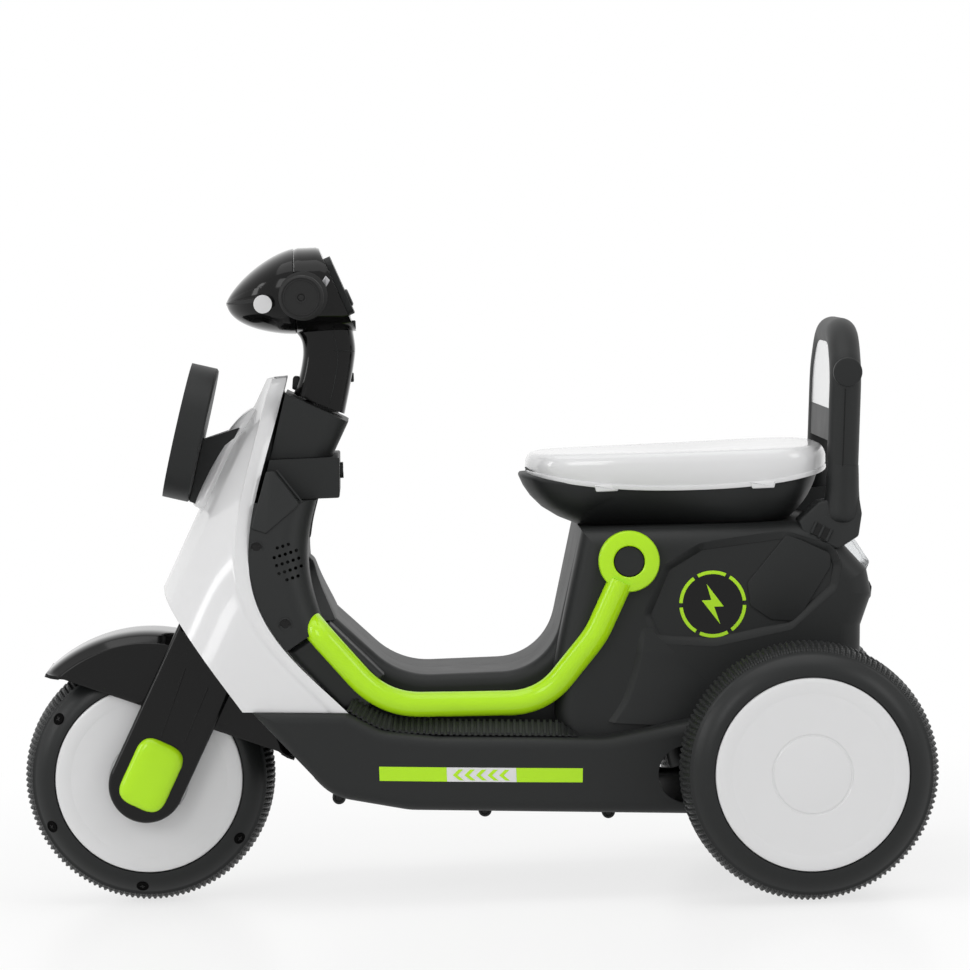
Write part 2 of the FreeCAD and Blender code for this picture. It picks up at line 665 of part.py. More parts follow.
# Dash panel on the back of the rear cowl, with two push buttons
DASH = FreeCAD.Placement(Vec(dash_mid[0] - d.seat_gap, 0, dash_mid[1]), dash_turn)
panel = body("dash_panel")
shape = sketch(panel, "YZ_Plane")
across = "sizes.dash_width / 2"
high = "sizes.dash_height / 2"
polygon(shape, [(across, "-" + high), (across, high), ("-" + across, high), ("-" + across, "-" + high)])
slab = pad(panel, shape, "sizes.dash_thickness", flipped=True)
soften(panel, slab, running_along("x"), "sizes.dash_height / 6")
holes = sketch(panel, "YZ_Plane")
for name, y in button_places:
    circle(holes, str(y), str(button_drop), "sizes.button_radius + 0.4")
pocket(panel, holes, midplane=True)
panel.Placement = DASH
for name, y in button_places:
    cap_r = d.button_radius
    stalk_length = d.dash_thickness + d.button_travel + 0.5
    stalk = Part.makeCylinder(cap_r, stalk_length, Vec(d.seat_gap, y, button_drop), Vec(-1, 0, 0))
    rim = [e for e in stalk.Edges if e.CenterOfMass.x < -d.dash_thickness and e.Length > 1.5 * cap_r]
    key = node(name, stalk.makeFillet(1.2, rim[:1]))
    key.Placement = DASH

# Marker lamps on both cheeks of the nacelle
marker_x = bar_x + d.marker_forward
marker_z = bar_z - d.marker_drop
lamps = []
for name, side in SIDES:
    outside = cross_rod(marker_x, marker_z, d.marker_radius, 0, d.nacelle_half + 20).cut(nacelle_skin)
    reach_in = min(v.Point.y for v in outside.Vertexes)
    lens = cross_rod(marker_x, marker_z, d.marker_radius, reach_in, reach_in + d.marker_length)
    lens = lens.cut(nacelle_skin)
    lamps.append(lens if side > 0 else mirrored(lens))
node("marker_lamps", Part.Compound(lamps))


# Front body: apron, leg shield, head cover, console
def front_half(z):
    """Half width of the apron and the leg shield at a height."""
    low = up(d.apron_low)
    high = up(d.apron_top)
    part = (z - low) / (high - low)
    return d.apron_half_low - (d.apron_half_low - d.apron_half_top) * part * abs(part)


def nose_x(z):
    return front_x + (d.apron_nose - (z - axle_z) * math.sin(rake)) / math.cos(rake)


APRON_POWER = 2.2
apron_back = steer(-112, 114)[0] - 8


def apron_wire(z):
    """Horseshoe section of the apron at a height: straight cheeks and a rounded nose."""
    half = front_half(z)
    tip = nose_x(z)
    length = d.apron_nose_length

    def arc(grow):
        points = []
        for step in range(-6, 7):
            y = math.sin(math.radians(15 * step))
            x = tip - length + (length - grow) * (1 - abs(y) ** APRON_POWER) ** (1 / APRON_POWER)
            points.append(Vec(x, y * (half - grow), z))
        return points

    outer = arc(0)
    inner = arc(d.apron_wall)
    corners = [Vec(apron_back, -half, z), Vec(apron_back, half, z)]
    inner_corners = [Vec(apron_back, d.apron_wall - half, z), Vec(apron_back, half - d.apron_wall, z)]
    edges = [straight(corners[0], outer[0]), spline(outer), straight(outer[-1], corners[1]),
             straight(corners[1], inner_corners[1]), straight(inner_corners[1], inner[-1]),
             spline(inner[::-1]), straight(inner[0], inner_corners[0]),
             straight(inner_corners[0], corners[0])]
    return Part.Wire(edges)


def bezier(points):
    curve = Part.BezierCurve()
    curve.setPoles([Vec(x, 0, z) for x, z in points])
    return curve


EDGE_POLES = [steer(31, 318), steer(14, 205), steer(14, 146), steer(-52, 134), steer(-111, 113)]
edge_curve = bezier(EDGE_POLES)
apron_top_z = up(d.apron_top)
apron_low_z = up(d.apron_low)


def mask(shift, drop=0.0):
    """Side view of the apron as a prism; its rear edge can be moved back and down."""
    start = edge_curve.value(0)
    finish = edge_curve.value(1)
    low_front = steer(-41, 81.5)
    mid_front = steer(28, 119)
    tip_front = steer(50, 131)
    far_x = tip_front[0] + 90
    places = [(finish.x, finish.z), low_front, mid_front, tip_front, (far_x, tip_front[1] + 5),
              (far_x, start.z), (start.x, start.z)]
    corners = [Vec(x, 0, z) for x, z in places]
    edges = [straight(a, b) for a, b in zip(corners, corners[1:])]
    face = Part.Face(Part.Wire([edge_curve.toShape()] + edges))
    face.translate(Vec(shift, -200, -drop))
    return face.extrude(Vec(0, 400, 0))


levels = [apron_low_z - 10 + (apron_top_z - apron_low_z + 10) * n / 5 for n in range(6)]
apron_skin = loft([apron_wire(z) for z in levels])
apron_shape = apron_skin.common(mask(0))
node("apron", apron_shape)

# The leg shield fills in behind the apron's rear edge
shield_low = up(94)
shield_high = up(d.shield_top)
joint_rear = steer(-69, 163)
joint_front = steer(-52, 135)


def shield_rear(z):
    """Rear face of the leg shield at a height: a shallow bow from the console down to the floor joint."""
    part = (z - joint_rear[1]) / (shield_high - joint_rear[1])
    return joint_rear[0] + d.shield_bulge * math.sin(0.93 * math.pi * part)


def shield_wire(z, wall):
    half = front_half(z) - 1.0 - wall
    back = shield_rear(z) + wall
    ahead = nose_x(z) - d.apron_nose_length * 0.35 - wall
    corner = d.shield_corner - wall
    bend_in = corner * (1 - math.sqrt(0.5))
    low, high = Vec(back, -half + corner, z), Vec(back, half - corner, z)
    left, right = Vec(back + corner, half, z), Vec(back + corner, -half, z)
    arc_left = Part.Arc(high, Vec(back + bend_in, half - bend_in, z), left)
    arc_right = Part.Arc(right, Vec(back + bend_in, bend_in - half, z), low)
    ends = [Vec(ahead, half, z), Vec(ahead, -half, z)]
    edges = [straight(low, high), arc_left.toShape(), straight(left, ends[0]), straight(ends[0], ends[1]),
             straight(ends[1], right), arc_right.toShape()]
    return Part.Wire(edges)


def shield_solid(wall, low, high):
    return loft([shield_wire(low + (high - low) * n / 5, wall) for n in range(6)])


def joint_height(x):
    """Height of the sloped joint between the leg shield and the body halves."""
    rise = (joint_front[1] - joint_rear[1]) / (joint_front[0] - joint_rear[0])
    return joint_rear[1] + (x - joint_rear[0]) * rise


def below_joint(shift):
    """Block under the sloped joint between the leg shield and the body halves."""
    run = (joint_front[0] - joint_rear[0], joint_front[1] - joint_rear[1])
    back = (joint_rear[0] - 3 * run[0], joint_rear[1] - 3 * run[1])
    ahead = (joint_front[0] + 6 * run[0], joint_front[1] + 6 * run[1])
    corners = [(back[0], back[1] + shift, 0), (ahead[0], ahead[1] + shift, 0), (ahead[0], ahead[1] - 300, 0),
               (back[0], back[1] - 300, 0)]
    return prism(corners, -200, 200)


shield_skin = shield_solid(0, shield_low, shield_high)
behind_apron = shield_skin.cut(mask(-d.seat_gap, d.seat_gap)).cut(below_joint(d.seat_gap))
web = Part.makeBox(400, 400, d.web_thickness, Vec(-200, -200, d.web_height))
web.Placement = STEERING
shield_hollow = shield_solid(d.shield_wall, shield_low - 5, shield_high - d.shield_wall)
inside = shield_hollow.cut(web)
bush_hole = Part.makeCylinder(d.bush_radius, 200, Vec(0, 0, 130))
bush_hole.Placement = STEERING
shield_shape = behind_apron.cut(inside).cut(bush_hole)
speaker_z = up(161)
speaker_x = shield_rear(speaker_z) + 14.5
grille_turn = math.radians(d.grille_tilt)
holes = []
for column_index in range(-2, 3):
    for row_index in range(-2, 3):
        if abs(column_index) + abs(row_index) > 3:
            continue
        across = column_index * d.grille_pitch
        along = row_index * d.grille_rise
        hole_x = speaker_x + across * math.cos(grille_turn) + along * math.sin(grille_turn)
        hole_z = speaker_z - across * math.sin(grille_turn) + along * math.cos(grille_turn)
        holes.append(cross_rod(hole_x, hole_z, d.grille_hole, 40, 130))
shield_shape = shield_shape.cut(Part.Compound(holes))
solids = sorted(shield_shape.Solids, key=lambda s: s.Volume)
node("leg_shield", solids[-1])

# Head cover over the top of the steering head
head = body("head_cover")
shape = sketch(head, "XZ_Plane")
roof = [Vec(27.5, d.head_top - 1), Vec(-d.head_rear, d.head_top - 1)]
head_floor = d.head_bottom
head_base = []
for u in (-d.head_rear, 17.5):
    head_base.append(Vec(u, (head_floor - u * math.sin(rake)) / math.cos(rake)))
corners = [roof[0], roof[1], head_base[0], head_base[1]]
outline(shape, [[p] for p in corners + corners[:1]])
block = pad(head, shape, "2 * sizes.head_half", midplane=True)
upright_edge = running_along("z")
soften(head, block, lambda e: e.CenterOfMass.x < 0.1 - d.head_rear and upright_edge(e),
       "sizes.head_half * 0.3")
hollow = sketch(head, "XZ_Plane")
wall = d.shield_wall
inner = [Vec(roof[0].x - wall, d.head_top - 1 - 2 * wall), Vec(wall - d.head_rear, d.head_top - 1 - 2 * wall),
         Vec(wall - d.head_rear, head_base[0].y - 30), Vec(roof[0].x - wall - 8, head_base[0].y - 30)]
outline(hollow, [[p] for p in inner + inner[:1]])
pocket(head, hollow, "2 * sizes.head_half - 4 * sizes.shield_wall", midplane=True)
hole = sketch(head, "XY_Plane", "sizes.head_top + 20")
circle(hole, "0", "0", "sizes.bush_radius")
pocket(head, hole, "60")
at_front_axle(head, raked=True)

# Console box under the head cover, with its switch panel at the back
console_top = up(d.head_bottom) - d.seat_gap
console_low = up(d.console_bottom)
console_x = front(-d.console_rear)
console_front = steer(20, 254)[0]
shape = [(console_x, console_low, 0), (console_x - 1, console_top, 0), (console_front - 2, console_top, 0),
         (console_front + 6, console_low, 0)]
console = prism(shape, -d.console_half, d.console_half)
console = console.makeFillet(1.5, [e for e in console.Edges if e.CenterOfMass.x < console_x + 4])
inner = inset_prism(shape, d.console_wall, d.console_wall - d.console_half, d.console_half - d.console_wall)
clear = Part.makeCylinder(d.column_radius + 3, 400)
clear.Placement = STEERING
power_y, switch_y, socket_y = 22.0, -4.0, -30.0
panel_z = (console_low + console_top) / 2 + 2.5
power_hole = Part.makeCylinder(d.power_radius + 0.4, 20, Vec(console_x - 10, power_y, panel_z), AXIS_X)
switch_hole = box(console_x - 10, console_x + 10, switch_y - 7, switch_y + 7, panel_z - 6.5, panel_z + 6.5)
socket_hole = Part.makeCylinder(5, 20, Vec(console_x - 10, socket_y, panel_z), AXIS_X)
console = console.cut(inner).cut(clear).cut(mask(-d.seat_gap))
console = console.cut(power_hole).cut(switch_hole).cut(socket_hole)
node("console_box", sorted(console.Solids, key=lambda s: s.Volume)[-1])
knob = Part.makeCylinder(d.power_radius, 12, Vec(console_x - 0.6 - d.power_rise, power_y, panel_z), AXIS_X)
collar_x = console_x + d.console_wall + d.seat_gap
collar = Part.makeCylinder(d.power_radius + 2, 3, Vec(collar_x, power_y, panel_z), AXIS_X)
node("power_button", knob.fuse(collar))
rocker = box(-2.6, 4, -6.6, 6.6, -5.7, 5.7)
rocker = rocker.cut(box(-8, -1.2, -8, 8, -1.6, 1.6))
rocker = rocker.fuse(cross_rod(0, 0, 1.1, -6.9, 6.9))
switch = node("direction_switch", rocker)
switch.Placement = FreeCAD.Placement(Vec(console_x - 0.5, switch_y, panel_z), FreeCAD.Rotation())
jack = Part.makeCylinder(4.95, 16, Vec(console_x - 1, socket_y, panel_z), AXIS_X)
jack = jack.cut(Part.makeCylinder(2.6, 11, Vec(console_x - 1, socket_y, panel_z), AXIS_X))
node("charge_socket", jack)

# Speaker behind the grille holes of the leg shield's left cheek
cheek_y = front_half(speaker_z) - 1.0 - d.shield_wall
cone = Part.makeCone(d.speaker_radius, d.speaker_radius * 0.35, d.speaker_depth, Vec(0, 0, 0), AXIS_Y)
magnet = cross_rod(0, 0, d.speaker_radius * 0.7, -8, 0)
speaker = node("speaker", cone.fuse(magnet))
cheek_slope = math.degrees(math.atan((front_half(speaker_z) - front_half(speaker_z + 10)) / 10))
speaker.Placement = FreeCAD.Placement(Vec(speaker_x + 2, cheek_y - d.speaker_depth - 1.6, speaker_z - 3),
                                      FreeCAD.Rotation(AXIS_X, cheek_slope))

# Headlamp: shell, reflector, lens and the bracket that carries it
lamp_x, lamp_z = front(-d.lamp_forward), up(d.lamp_height)
LAMP = FreeCAD.Placement(Vec(lamp_x, 0, lamp_z), FreeCAD.Rotation(Vec(0, -1, 0), d.lamp_tilt).multiply(
    FreeCAD.Rotation(AXIS_Z, -90)))


def turned(label, corners):
    """Turned piece about the local Y axis; corners are radius and place along it."""
    made = body(label)
    section = sketch(made, "XY_Plane")
    polygon(section, corners)
    feature = revolution(made, section)
    return made, feature


deep = "sizes.lamp_depth / 2"
rim_r = "sizes.lamp_radius"
shell, skin = turned("headlamp_shell", [
    ("0", f"-{deep}"), (f"{rim_r} - 1.5", f"-{deep}"), (rim_r, f"1.5 - {deep}"), (rim_r, deep),
    (f"{rim_r} - 4", deep), (f"{rim_r} - 4", f"6 + sizes.lamp_wall - {deep}"),
    (f"{rim_r} - 8", f"sizes.lamp_wall - {deep}"),
    ("0", f"sizes.lamp_wall - {deep}")])
shell.Placement = LAMP
lens, skin = turned("headlamp_lens", [
    ("0", f"{deep} - 0.8"), (f"{rim_r} - 14", f"{deep} - 1.6"), (f"{rim_r} - 4.2", f"{deep} - 4.5"),
    (f"{rim_r} - 4.2", f"{deep} - 7"), (f"{rim_r} - 14", f"{deep} - 4"), ("0", f"{deep} - 3.2")])
lens.Placement = LAMP
mirror_dish, skin = turned("headlamp_reflector", [
    ("0", f"3 - {deep}"), ("16", f"3 - {deep}"), (f"{rim_r} - 5", f"{deep} - 8.5"),
    (f"{rim_r} - 5", f"{deep} - 7.3"), (f"{rim_r} - 9", f"{deep} - 7.3"), ("15", f"5 - {deep}"),
    ("0", f"5 - {deep}")])
mirror_dish.Placement = LAMP
arm = [(3.5, -50), (6, -10), (-40, 4), (-70, -20), (-40, -70)]
arm_corners = [(lamp_x + dx, lamp_z + dz, 0) for dx, dz in arm]
bracket = prism(arm_corners, -d.lamp_bracket_half, d.lamp_bracket_half)
lamp_clear = Part.makeCylinder(d.lamp_radius + 5, 200, Vec(0, -d.lamp_depth / 2 - d.seat_gap, 0), AXIS_Y)
lamp_clear.Placement = LAMP


def apron_full(z):
    """Filled outer section of the apron, to trim what stands on it."""
    half = front_half(z) + d.seat_gap
    tip = nose_x(z) + d.seat_gap
    points = []
    for step in range(-6, 7):
        y = math.sin(math.radians(15 * step))
        x = tip - d.apron_nose_length + d.apron_nose_length * (1 - abs(y) ** APRON_POWER) ** (1 / APRON_POWER)
        points.append(Vec(x, y * half, z))
    low, high = Vec(apron_back, -half, z), Vec(apron_back, half, z)
    return Part.Wire([straight(low, points[0]), spline(points), straight(points[-1], high),
                      straight(high, low)])


apron_block = loft([apron_full(z) for z in levels])
bracket = bracket.cut(lamp_clear).cut(apron_block).cut(apron_shape)
node("headlamp_bracket", sorted(bracket.Solids, key=lambda s: s.Volume)[-1])

# Body halves
tower_x = rear(d.tower_front)
floor_z = up(d.floor_rise)
tower_z = up(d.tower_top)
low_front_z = up(-d.skirt_bottom_front)
low_rear_z = up(-d.skirt_bottom_rear)
wheel_front = rear(d.tyre_radius)
skirt_end = wheel_front - 16
WINDOW_BACK, WINDOW_DROP = 8.0, 4.0
rim_front = (joint_rear[0] - 6, joint_rear[1] + 5)
core_outline = [
    (rim_front[0], rim_front[1], 0), (rim_front[0] - 48, floor_z, 58), (tower_x + 27, floor_z, 45),
    (tower_x, tower_z, 0), (tower_x - 60, tower_z, 0), (tower_x - 60, low_rear_z + 16, 0),
    (rim_front[0] + 4, low_front_z + 14, 0), (joint_front[0] - 18, joint_front[1] - 34, 0),
    (joint_front[0] + 2, joint_front[1] + 3, 0)]
rear_outline = [
    (tower_x, tower_z, 0), (tower_x + 24, floor_z + 6, 20), (tower_x + 26, low_rear_z + 14, 0),
    (tower_x - 40, low_rear_z + 1, 0), (rear(12 - d.tail_rear), low_rear_z + 1, 18),
    (rear(6 - d.tail_rear), axle_z + 97, 0), (rear(-d.tail_rear - 3), axle_z + 120, 0),
    (rear(-d.tail_rear), axle_z + 138, 0), (rear(-22), tower_z, 20)]
skirt_outline = [
    (front(-78), up(55.5), 0), (front(-149), up(51.5), 0), (front(-174), up(d.skirt_top_front + 6), 30),
    (front(-215), up(d.skirt_top_front), 60), (skirt_end + 66, up(d.skirt_top_rear), 60),
    (skirt_end, up(d.skirt_top_rear + 11), 0), (skirt_end - d.skirt_tail, up(d.skirt_top_rear + 14), 10),
    (skirt_end - d.skirt_tail, low_rear_z + 3, 6), (skirt_end, low_rear_z, 0), (front(-192), low_front_z, 60),
    (front(-136), low_front_z + 12, 40)]
riser_top = (rim_front[0] + 2, joint_height(rim_front[0] + 2) - 1)
riser_outline = [
    (riser_top[0], riser_top[1], 0), (rim_front[0] - 36, rim_front[1] - 43, 0),
    (rim_front[0] - 24, up(50.5), 0), (rim_front[0] - 4, up(50.5), 0),
    (joint_front[0] - 6, joint_front[1] - 9, 0),
    (joint_front[0], joint_front[1] - 1, 0)]
riser_half = d.rear_half + 4


def half_shell():
    """Left body half: three rounded prisms fused, then hollowed from the seam plane."""
    parts = ((core_outline, d.core_half, d.body_round), (rear_outline, d.rear_half, d.rear_round),
             (skirt_outline, d.skirt_half, d.body_round), (riser_outline, riser_half, d.riser_round))
    skin = None
    inside = []
    for corners, half, bend in parts:
        solid = round_side(prism(corners, 0, half), half, bend)
        skin = solid if skin is None else skin.fuse(solid)
        room = inset_prism(corners, d.body_wall, -1, half - d.body_wall)
        inside.append(round_side(room, half - d.body_wall, bend - d.body_wall))
    return skin, inside


skin, rooms = half_shell()
# A flat recess in each side of the tail takes the side cover
cover_outline = [
    (rear(104), up(92), 8), (rear(111), up(112), 8), (rear(95), up(147), 10), (rear(68), up(162), 14),
    (rear(6), up(168), 10), (rear(-28), up(156), 12), (rear(-33), up(143), 8), (rear(-30), up(126), 8),
    (rear(4), up(98), 6), (rear(60), up(88), 10)]
recess_y = d.rear_half - d.recess_depth
recess_back = inset_prism(cover_outline, -4 * d.cover_gap, recess_y - d.body_wall, recess_y + 1)
recess = inset_prism(cover_outline, -d.cover_gap, recess_y, d.rear_half + 5)
edge_clear = mask(-d.seat_gap, d.seat_gap)
keep_below = below_joint(0)
cut_top = box(rim_front[0] + 6, front(0), -1, 200, joint_rear[1] - 30, 400).cut(keep_below)
hollow = rooms[0]
for room in rooms[1:]:
    hollow = hollow.fuse(room)
shell_half = skin.cut(hollow)
shell_half = shell_half.fuse(recess_back.common(skin)).cut(recess)
well_x = joint_front[0] - 16
bulkhead = skin.common(box(well_x - 4, well_x - 4 + d.body_wall, 0, 200, 0, up(60)))
shell_half = shell_half.fuse(bulkhead)
wheel_well = box(well_x, front(0), -1, d.skirt_half - 6, 0, up(56))
shell_half = shell_half.cut(wheel_well).cut(edge_clear).cut(cut_top)
# A round window in the skirt's side, next to the rear wheel
window = cross_rod(wheel_front - WINDOW_BACK, up(-WINDOW_DROP), d.window_radius, d.skirt_half - 12,
                   d.skirt_half + 5)
ring_x, ring_z = rear(d.ring_forward), up(d.ring_height)
plug = cross_rod(ring_x, ring_z, d.ring_bore - 0.4, d.rear_half - 4, d.rear_half + d.ring_thickness - 2)
tray = box(rear(118), rear(224), 0, d.skirt_half - 1, up(-d.tray_height), up(-d.tray_height) + 3)
seam_bosses = []
for x, z in ((front(-141), up(-13.5)), (front(-247), up(-27)), (rear(143), up(-32.5))):
    seam_bosses.append(cross_rod(x, z, 5.2, 0, 9))
shell_half = shell_half.cut(window).fuse(plug).fuse(tray)
for boss in seam_bosses:
    shell_half = shell_half.fuse(boss)
sleeve_radius = 9.5
axle_hole = {"left": cross_rod(rear_x, axle_z, sleeve_radius + 0.4, 50, 130),
             "right": cross_rod(rear_x, axle_z, d.axle_radius, 50, 130)}
screw_holes = []
for boss in seam_bosses:
    place = boss.CenterOfMass
    screw_holes.append(cross_rod(place.x, place.z, 2, -1, 20))
    screw_holes.append(cross_rod(place.x, place.z, 4.2, 9, 14))
ledge_slope = math.atan2(d.skirt_top_front - d.skirt_top_rear, front(-215) - (skirt_end + 66))
# The finished halves, each set a little off the middle
SEAM_GAP = 0.1
seated_skin = skin.copy()
seated_skin.translate(Vec(0, SEAM_GAP, 0))
hub_inner = d.rear_wheel_inner + 8 - d.seat_gap
spacer = cross_rod(rear_x, axle_z, sleeve_radius, d.rear_half - 12, hub_inner)
case_boss = cross_rod(rear_x, axle_z, sleeve_radius + 5, d.rear_half - 15 + d.seat_gap, d.rear_half - 1)
for name, side in SIDES:
    half = shell_half.fuse(spacer if side < 0 else case_boss)
    half = half.cut(axle_hole[name])
    for hole in screw_holes:
        half = half.cut(hole)
    half = half.removeSplitter()
    half = sorted(half.Solids, key=lambda s: s.Volume)[-1]
    half.translate(Vec(0, SEAM_GAP, 0))
    node(f"body_{name}", half if side > 0 else mirrored(half))

screws = []
for boss in seam_bosses:
    place = boss.CenterOfMass
    shank = cross_rod(place.x, place.z, 1.95, -9, 9)
    head_end = cross_rod(place.x, place.z, 3.6, 9.1, 11.5)
    screws.append(shank.fuse(cross_rod(place.x, place.z, 1.95, 8, 10)).fuse(head_end))
node("seam_screws", Part.Compound(screws))

# Frame tubes with the ring round the body's plug
tube_start = (joint_rear[0] + 6, joint_rear[1] - 3)
tube_corners = [
    (Vec(tube_start[0], d.tube_high_side - 2, tube_start[1]), 0),
    (Vec(tube_start[0] - 48, d.tube_low_side + 6, up(d.tube_low + 1.5)), 62),
    (Vec(rear(188), d.tube_low_side + 6, up(d.tube_low - 1.5)), 50),
    (Vec(rear(147), d.tube_high_side, up(d.ring_height - 53)), 70),
    (Vec(ring_x, d.rear_half + 0.3 + d.ring_thickness / 2, ring_z), 0)]
rod = bent_rod(tube_corners, d.tube_radius)
ring = cross_rod(ring_x, ring_z, d.ring_radius, d.rear_half + 0.3, d.rear_half + 0.3 + d.ring_thickness)
ring = ring.makeFillet(3, [e for e in ring.Edges if e.CenterOfMass.y > d.rear_half + 5 and e.Length > 10][:1])
hole = cross_rod(ring_x, ring_z, d.ring_bore, d.rear_half - 10, d.rear_half + 40)
both = rod.fuse(ring).cut(hole)
tube_left = both.cut(seated_skin).cut(box(joint_rear[0] - 2, front(0), 0, 300, joint_rear[1] - 6, 500))
tube_left = sorted(tube_left.Solids, key=lambda s: s.Volume)[-1]
for name, side in SIDES:
    node(f"frame_tube_{name}", tube_left if side > 0 else mirrored(tube_left))

# Ribbed foot grips on the ledges
strips = []
strip_x = skirt_end + 68
for name, side in SIDES:
    strip = doc.addObject("PartDesign::Body", f"foot_strip_{name}")
    strips.append(strip)
    ramp = sketch(strip, "YZ_Plane")
    outer_y = "(sizes.skirt_half - sizes.body_round + 1)"
    inner_y = f"({outer_y} - sizes.grip_strip_width)"
    sign = "" if side > 0 else "-1 * "
    length = "sizes.grip_strip_length"
    high = "sizes.grip_strip_height"
    polygon(ramp, [(f"{sign}{inner_y}", "0"), (f"{sign}{outer_y}", "0"), (f"{sign}{outer_y}", "0.8"),
                   (f"{sign}{inner_y}", high)])
    pad(strip, ramp, length)
    rib = sketch(strip, "YZ_Plane", "1.5")
    polygon(rib, [(f"{sign}({inner_y} + 0.3)", "0.1"), (f"{sign}({outer_y} - 0.2)", "0.1"),
                  (f"{sign}({outer_y} - 0.2)", "1.9"), (f"{sign}({inner_y} + 0.3)", f"{high} + 1")])
    bar = pad(strip, rib, "2.2")
    row = strip.newObject("PartDesign::LinearPattern", strip.Name + "_ribs")
    row.Originals = [bar]
    row.Direction = (rib, ["N_Axis"])
    reach_text = f"{length} - 6"
    count = int((number(strip, length) - 6) / d.grip_rib_pitch) + 1
    row.setExpression("Length", reach_text)
    row.Occurrences = count
    strip.Tip = row
    doc.recompute()
    strip_z = up(d.skirt_top_rear) + d.seat_gap + (strip_x - skirt_end - 66) * math.tan(ledge_slope)
    strip_turn = FreeCAD.Rotation(Vec(0, -1, 0), math.degrees(ledge_slope))
    strip.Placement = FreeCAD.Placement(Vec(strip_x, 0, strip_z), strip_turn)
foot_grips = keep(doc.addObject("Part::Compound", "foot_grips"), "foot_grips")
foot_grips.Links = strips

# Seat and its base
seat_x0, seat_x1 = rear(d.seat_front), rear(-d.seat_rear)
seat_z = up(d.seat_top)


def seat_plan(grow, z, front_in=0.0, rear_in=0.0, side_in=0.0):
    """Plan outline of the seat: narrow rounded front, wide rounded back."""
    ahead = seat_x0 + grow - front_in
    back = seat_x1 - grow + rear_in
    wide = d.seat_half_rear + grow - side_in
    slim = d.seat_half_front + grow - side_in
    length = ahead - back
    places = [(0, 0), (0.012, 0.45 * slim), (0.07, 0.83 * slim), (0.22, 1.06 * slim),
              (0.5, 0.5 * (wide + 1.1 * slim)), (0.78, wide), (0.93, 0.88 * wide), (0.99, 0.5 * wide)]
    half = [Vec(ahead - share * length, y, z) for share, y in places]
    other = [Vec(p.x, -p.y, z) for p in half[1:]]
    points = half + [Vec(back, 0, z)] + other[::-1]
    return Part.Wire([spline(points, True)])


def dip_block(shift):
    """Space under the seat's curved lower edge, as a prism across the whole width."""
    dip_z = up(d.seat_dip) + shift
    end_z = seat_z - 9 + shift
    run = seat_x0 - seat_x1
    edge = [(-20, end_z + 10), (0, end_z), (0.2 * run, dip_z + 4), (0.45 * run, dip_z),
            (0.75 * run, dip_z + 4.5), (run, end_z), (run + 20, end_z + 8)]
    points = [Vec(seat_x1 + dx, -200, z) for dx, z in edge]
    low = [Vec(seat_x0 + 20, -200, dip_z - 150), Vec(seat_x1 - 20, -200, dip_z - 150)]
    edges = [spline(points), straight(points[-1], low[0]), straight(low[0], low[1]),
             straight(low[1], points[0])]
    return Part.Face(Part.Wire(edges)).extrude(Vec(0, 400, 0))


slab = Part.Face(seat_plan(0, up(d.seat_dip) - 4)).extrude(Vec(0, 0, seat_z - up(d.seat_dip) + 4))
slab = slab.makeFillet(d.seat_edge_round, [e for e in slab.Edges if abs(e.CenterOfMass.z - seat_z) < 1e-3])
under_low = up(d.seat_dip) - 20
under_rise = Vec(0, 0, seat_z - d.seat_edge_round - under_low)
under = Part.Face(seat_plan(-d.seat_wall, under_low)).extrude(under_rise)
seat_shape = slab.cut(dip_block(0)).cut(under)
node("seat", sorted(seat_shape.Solids, key=lambda s: s.Volume)[-1])

base_low = up(d.base_floor) + d.seat_gap
base_mid = base_low + 17
base_high = seat_z - 4
base_places = ((base_low, 40.0, 30.0, 20.0), (base_mid, 17.0, 14.0, 6.0), (base_high, 1.5, 3.0, 1.5))


def bowl(wall):
    wires = []
    for z, front_in, rear_in, side_in in base_places:
        wires.append(seat_plan(-wall, z + (wall if z == base_low else 0), front_in, rear_in, side_in))
    return loft(wires)


rim_cut = dip_block(-d.seat_gap)
bowl_shape = bowl(0).common(rim_cut).cut(bowl(d.base_wall))
node("seat_base", sorted(bowl_shape.Solids, key=lambda s: s.Volume)[-1])

# Backrest: hoop, white pad above, dark panel below, sockets on the body's tail
lean = math.radians(d.hoop_lean)
hoop_x = rear(-d.hoop_back)


def hoop_point(y, rise):
    """Point of the leaning hoop at a height above its foot."""
    return Vec(hoop_x - rise * math.tan(lean), y, up(d.hoop_foot + rise))


hoop_corners = [(hoop_point(-d.hoop_half, -4), 0), (hoop_point(-d.hoop_half, d.hoop_rise - 28), 30),
                (hoop_point(-d.hoop_half * 0.62, d.hoop_rise), 62)]
hoop_corners += [(Vec(p.x, -p.y, p.z), bend) for p, bend in hoop_corners[::-1]]
hoop = bent_rod(hoop_corners, d.hoop_radius)
hoop = hoop.cut(box(hoop_x - 60, hoop_x + 60, -200, 200, 0, up(d.hoop_foot)))
node("backrest_hoop", hoop)


panel_low = d.hoop_foot + d.panel_start
panel_half = d.hoop_half - d.hoop_radius / 2
panel_top = d.hoop_foot + d.hoop_rise - d.hoop_radius / 2
panel_side = [(panel_half * 0.62, panel_top, 60), (panel_half, panel_top - 26, 30),
              (panel_half, panel_low, 0)]
panel_corners = [(-y, dz, bend) for y, dz, bend in panel_side[::-1]] + panel_side
flat = Part.Face(corner_wire(panel_corners))
filler = flat.extrude(Vec(0, d.panel_thickness, 0))
filler.rotate(Vec(0, 0, 0), AXIS_Z, -90)
filler.rotate(Vec(0, 0, d.hoop_foot), AXIS_Y, -d.hoop_lean)
filler.translate(Vec(hoop_x + d.panel_forward, 0, axle_z))
filler = filler.cut(hoop)
split_z = up(d.hoop_foot + d.panel_split)
upper = filler.common(box(hoop_x - 80, hoop_x + 80, -200, 200, split_z + 0.1, split_z + 200))
lower = filler.common(box(hoop_x - 80, hoop_x + 80, -200, 200, 0, split_z - 0.1))
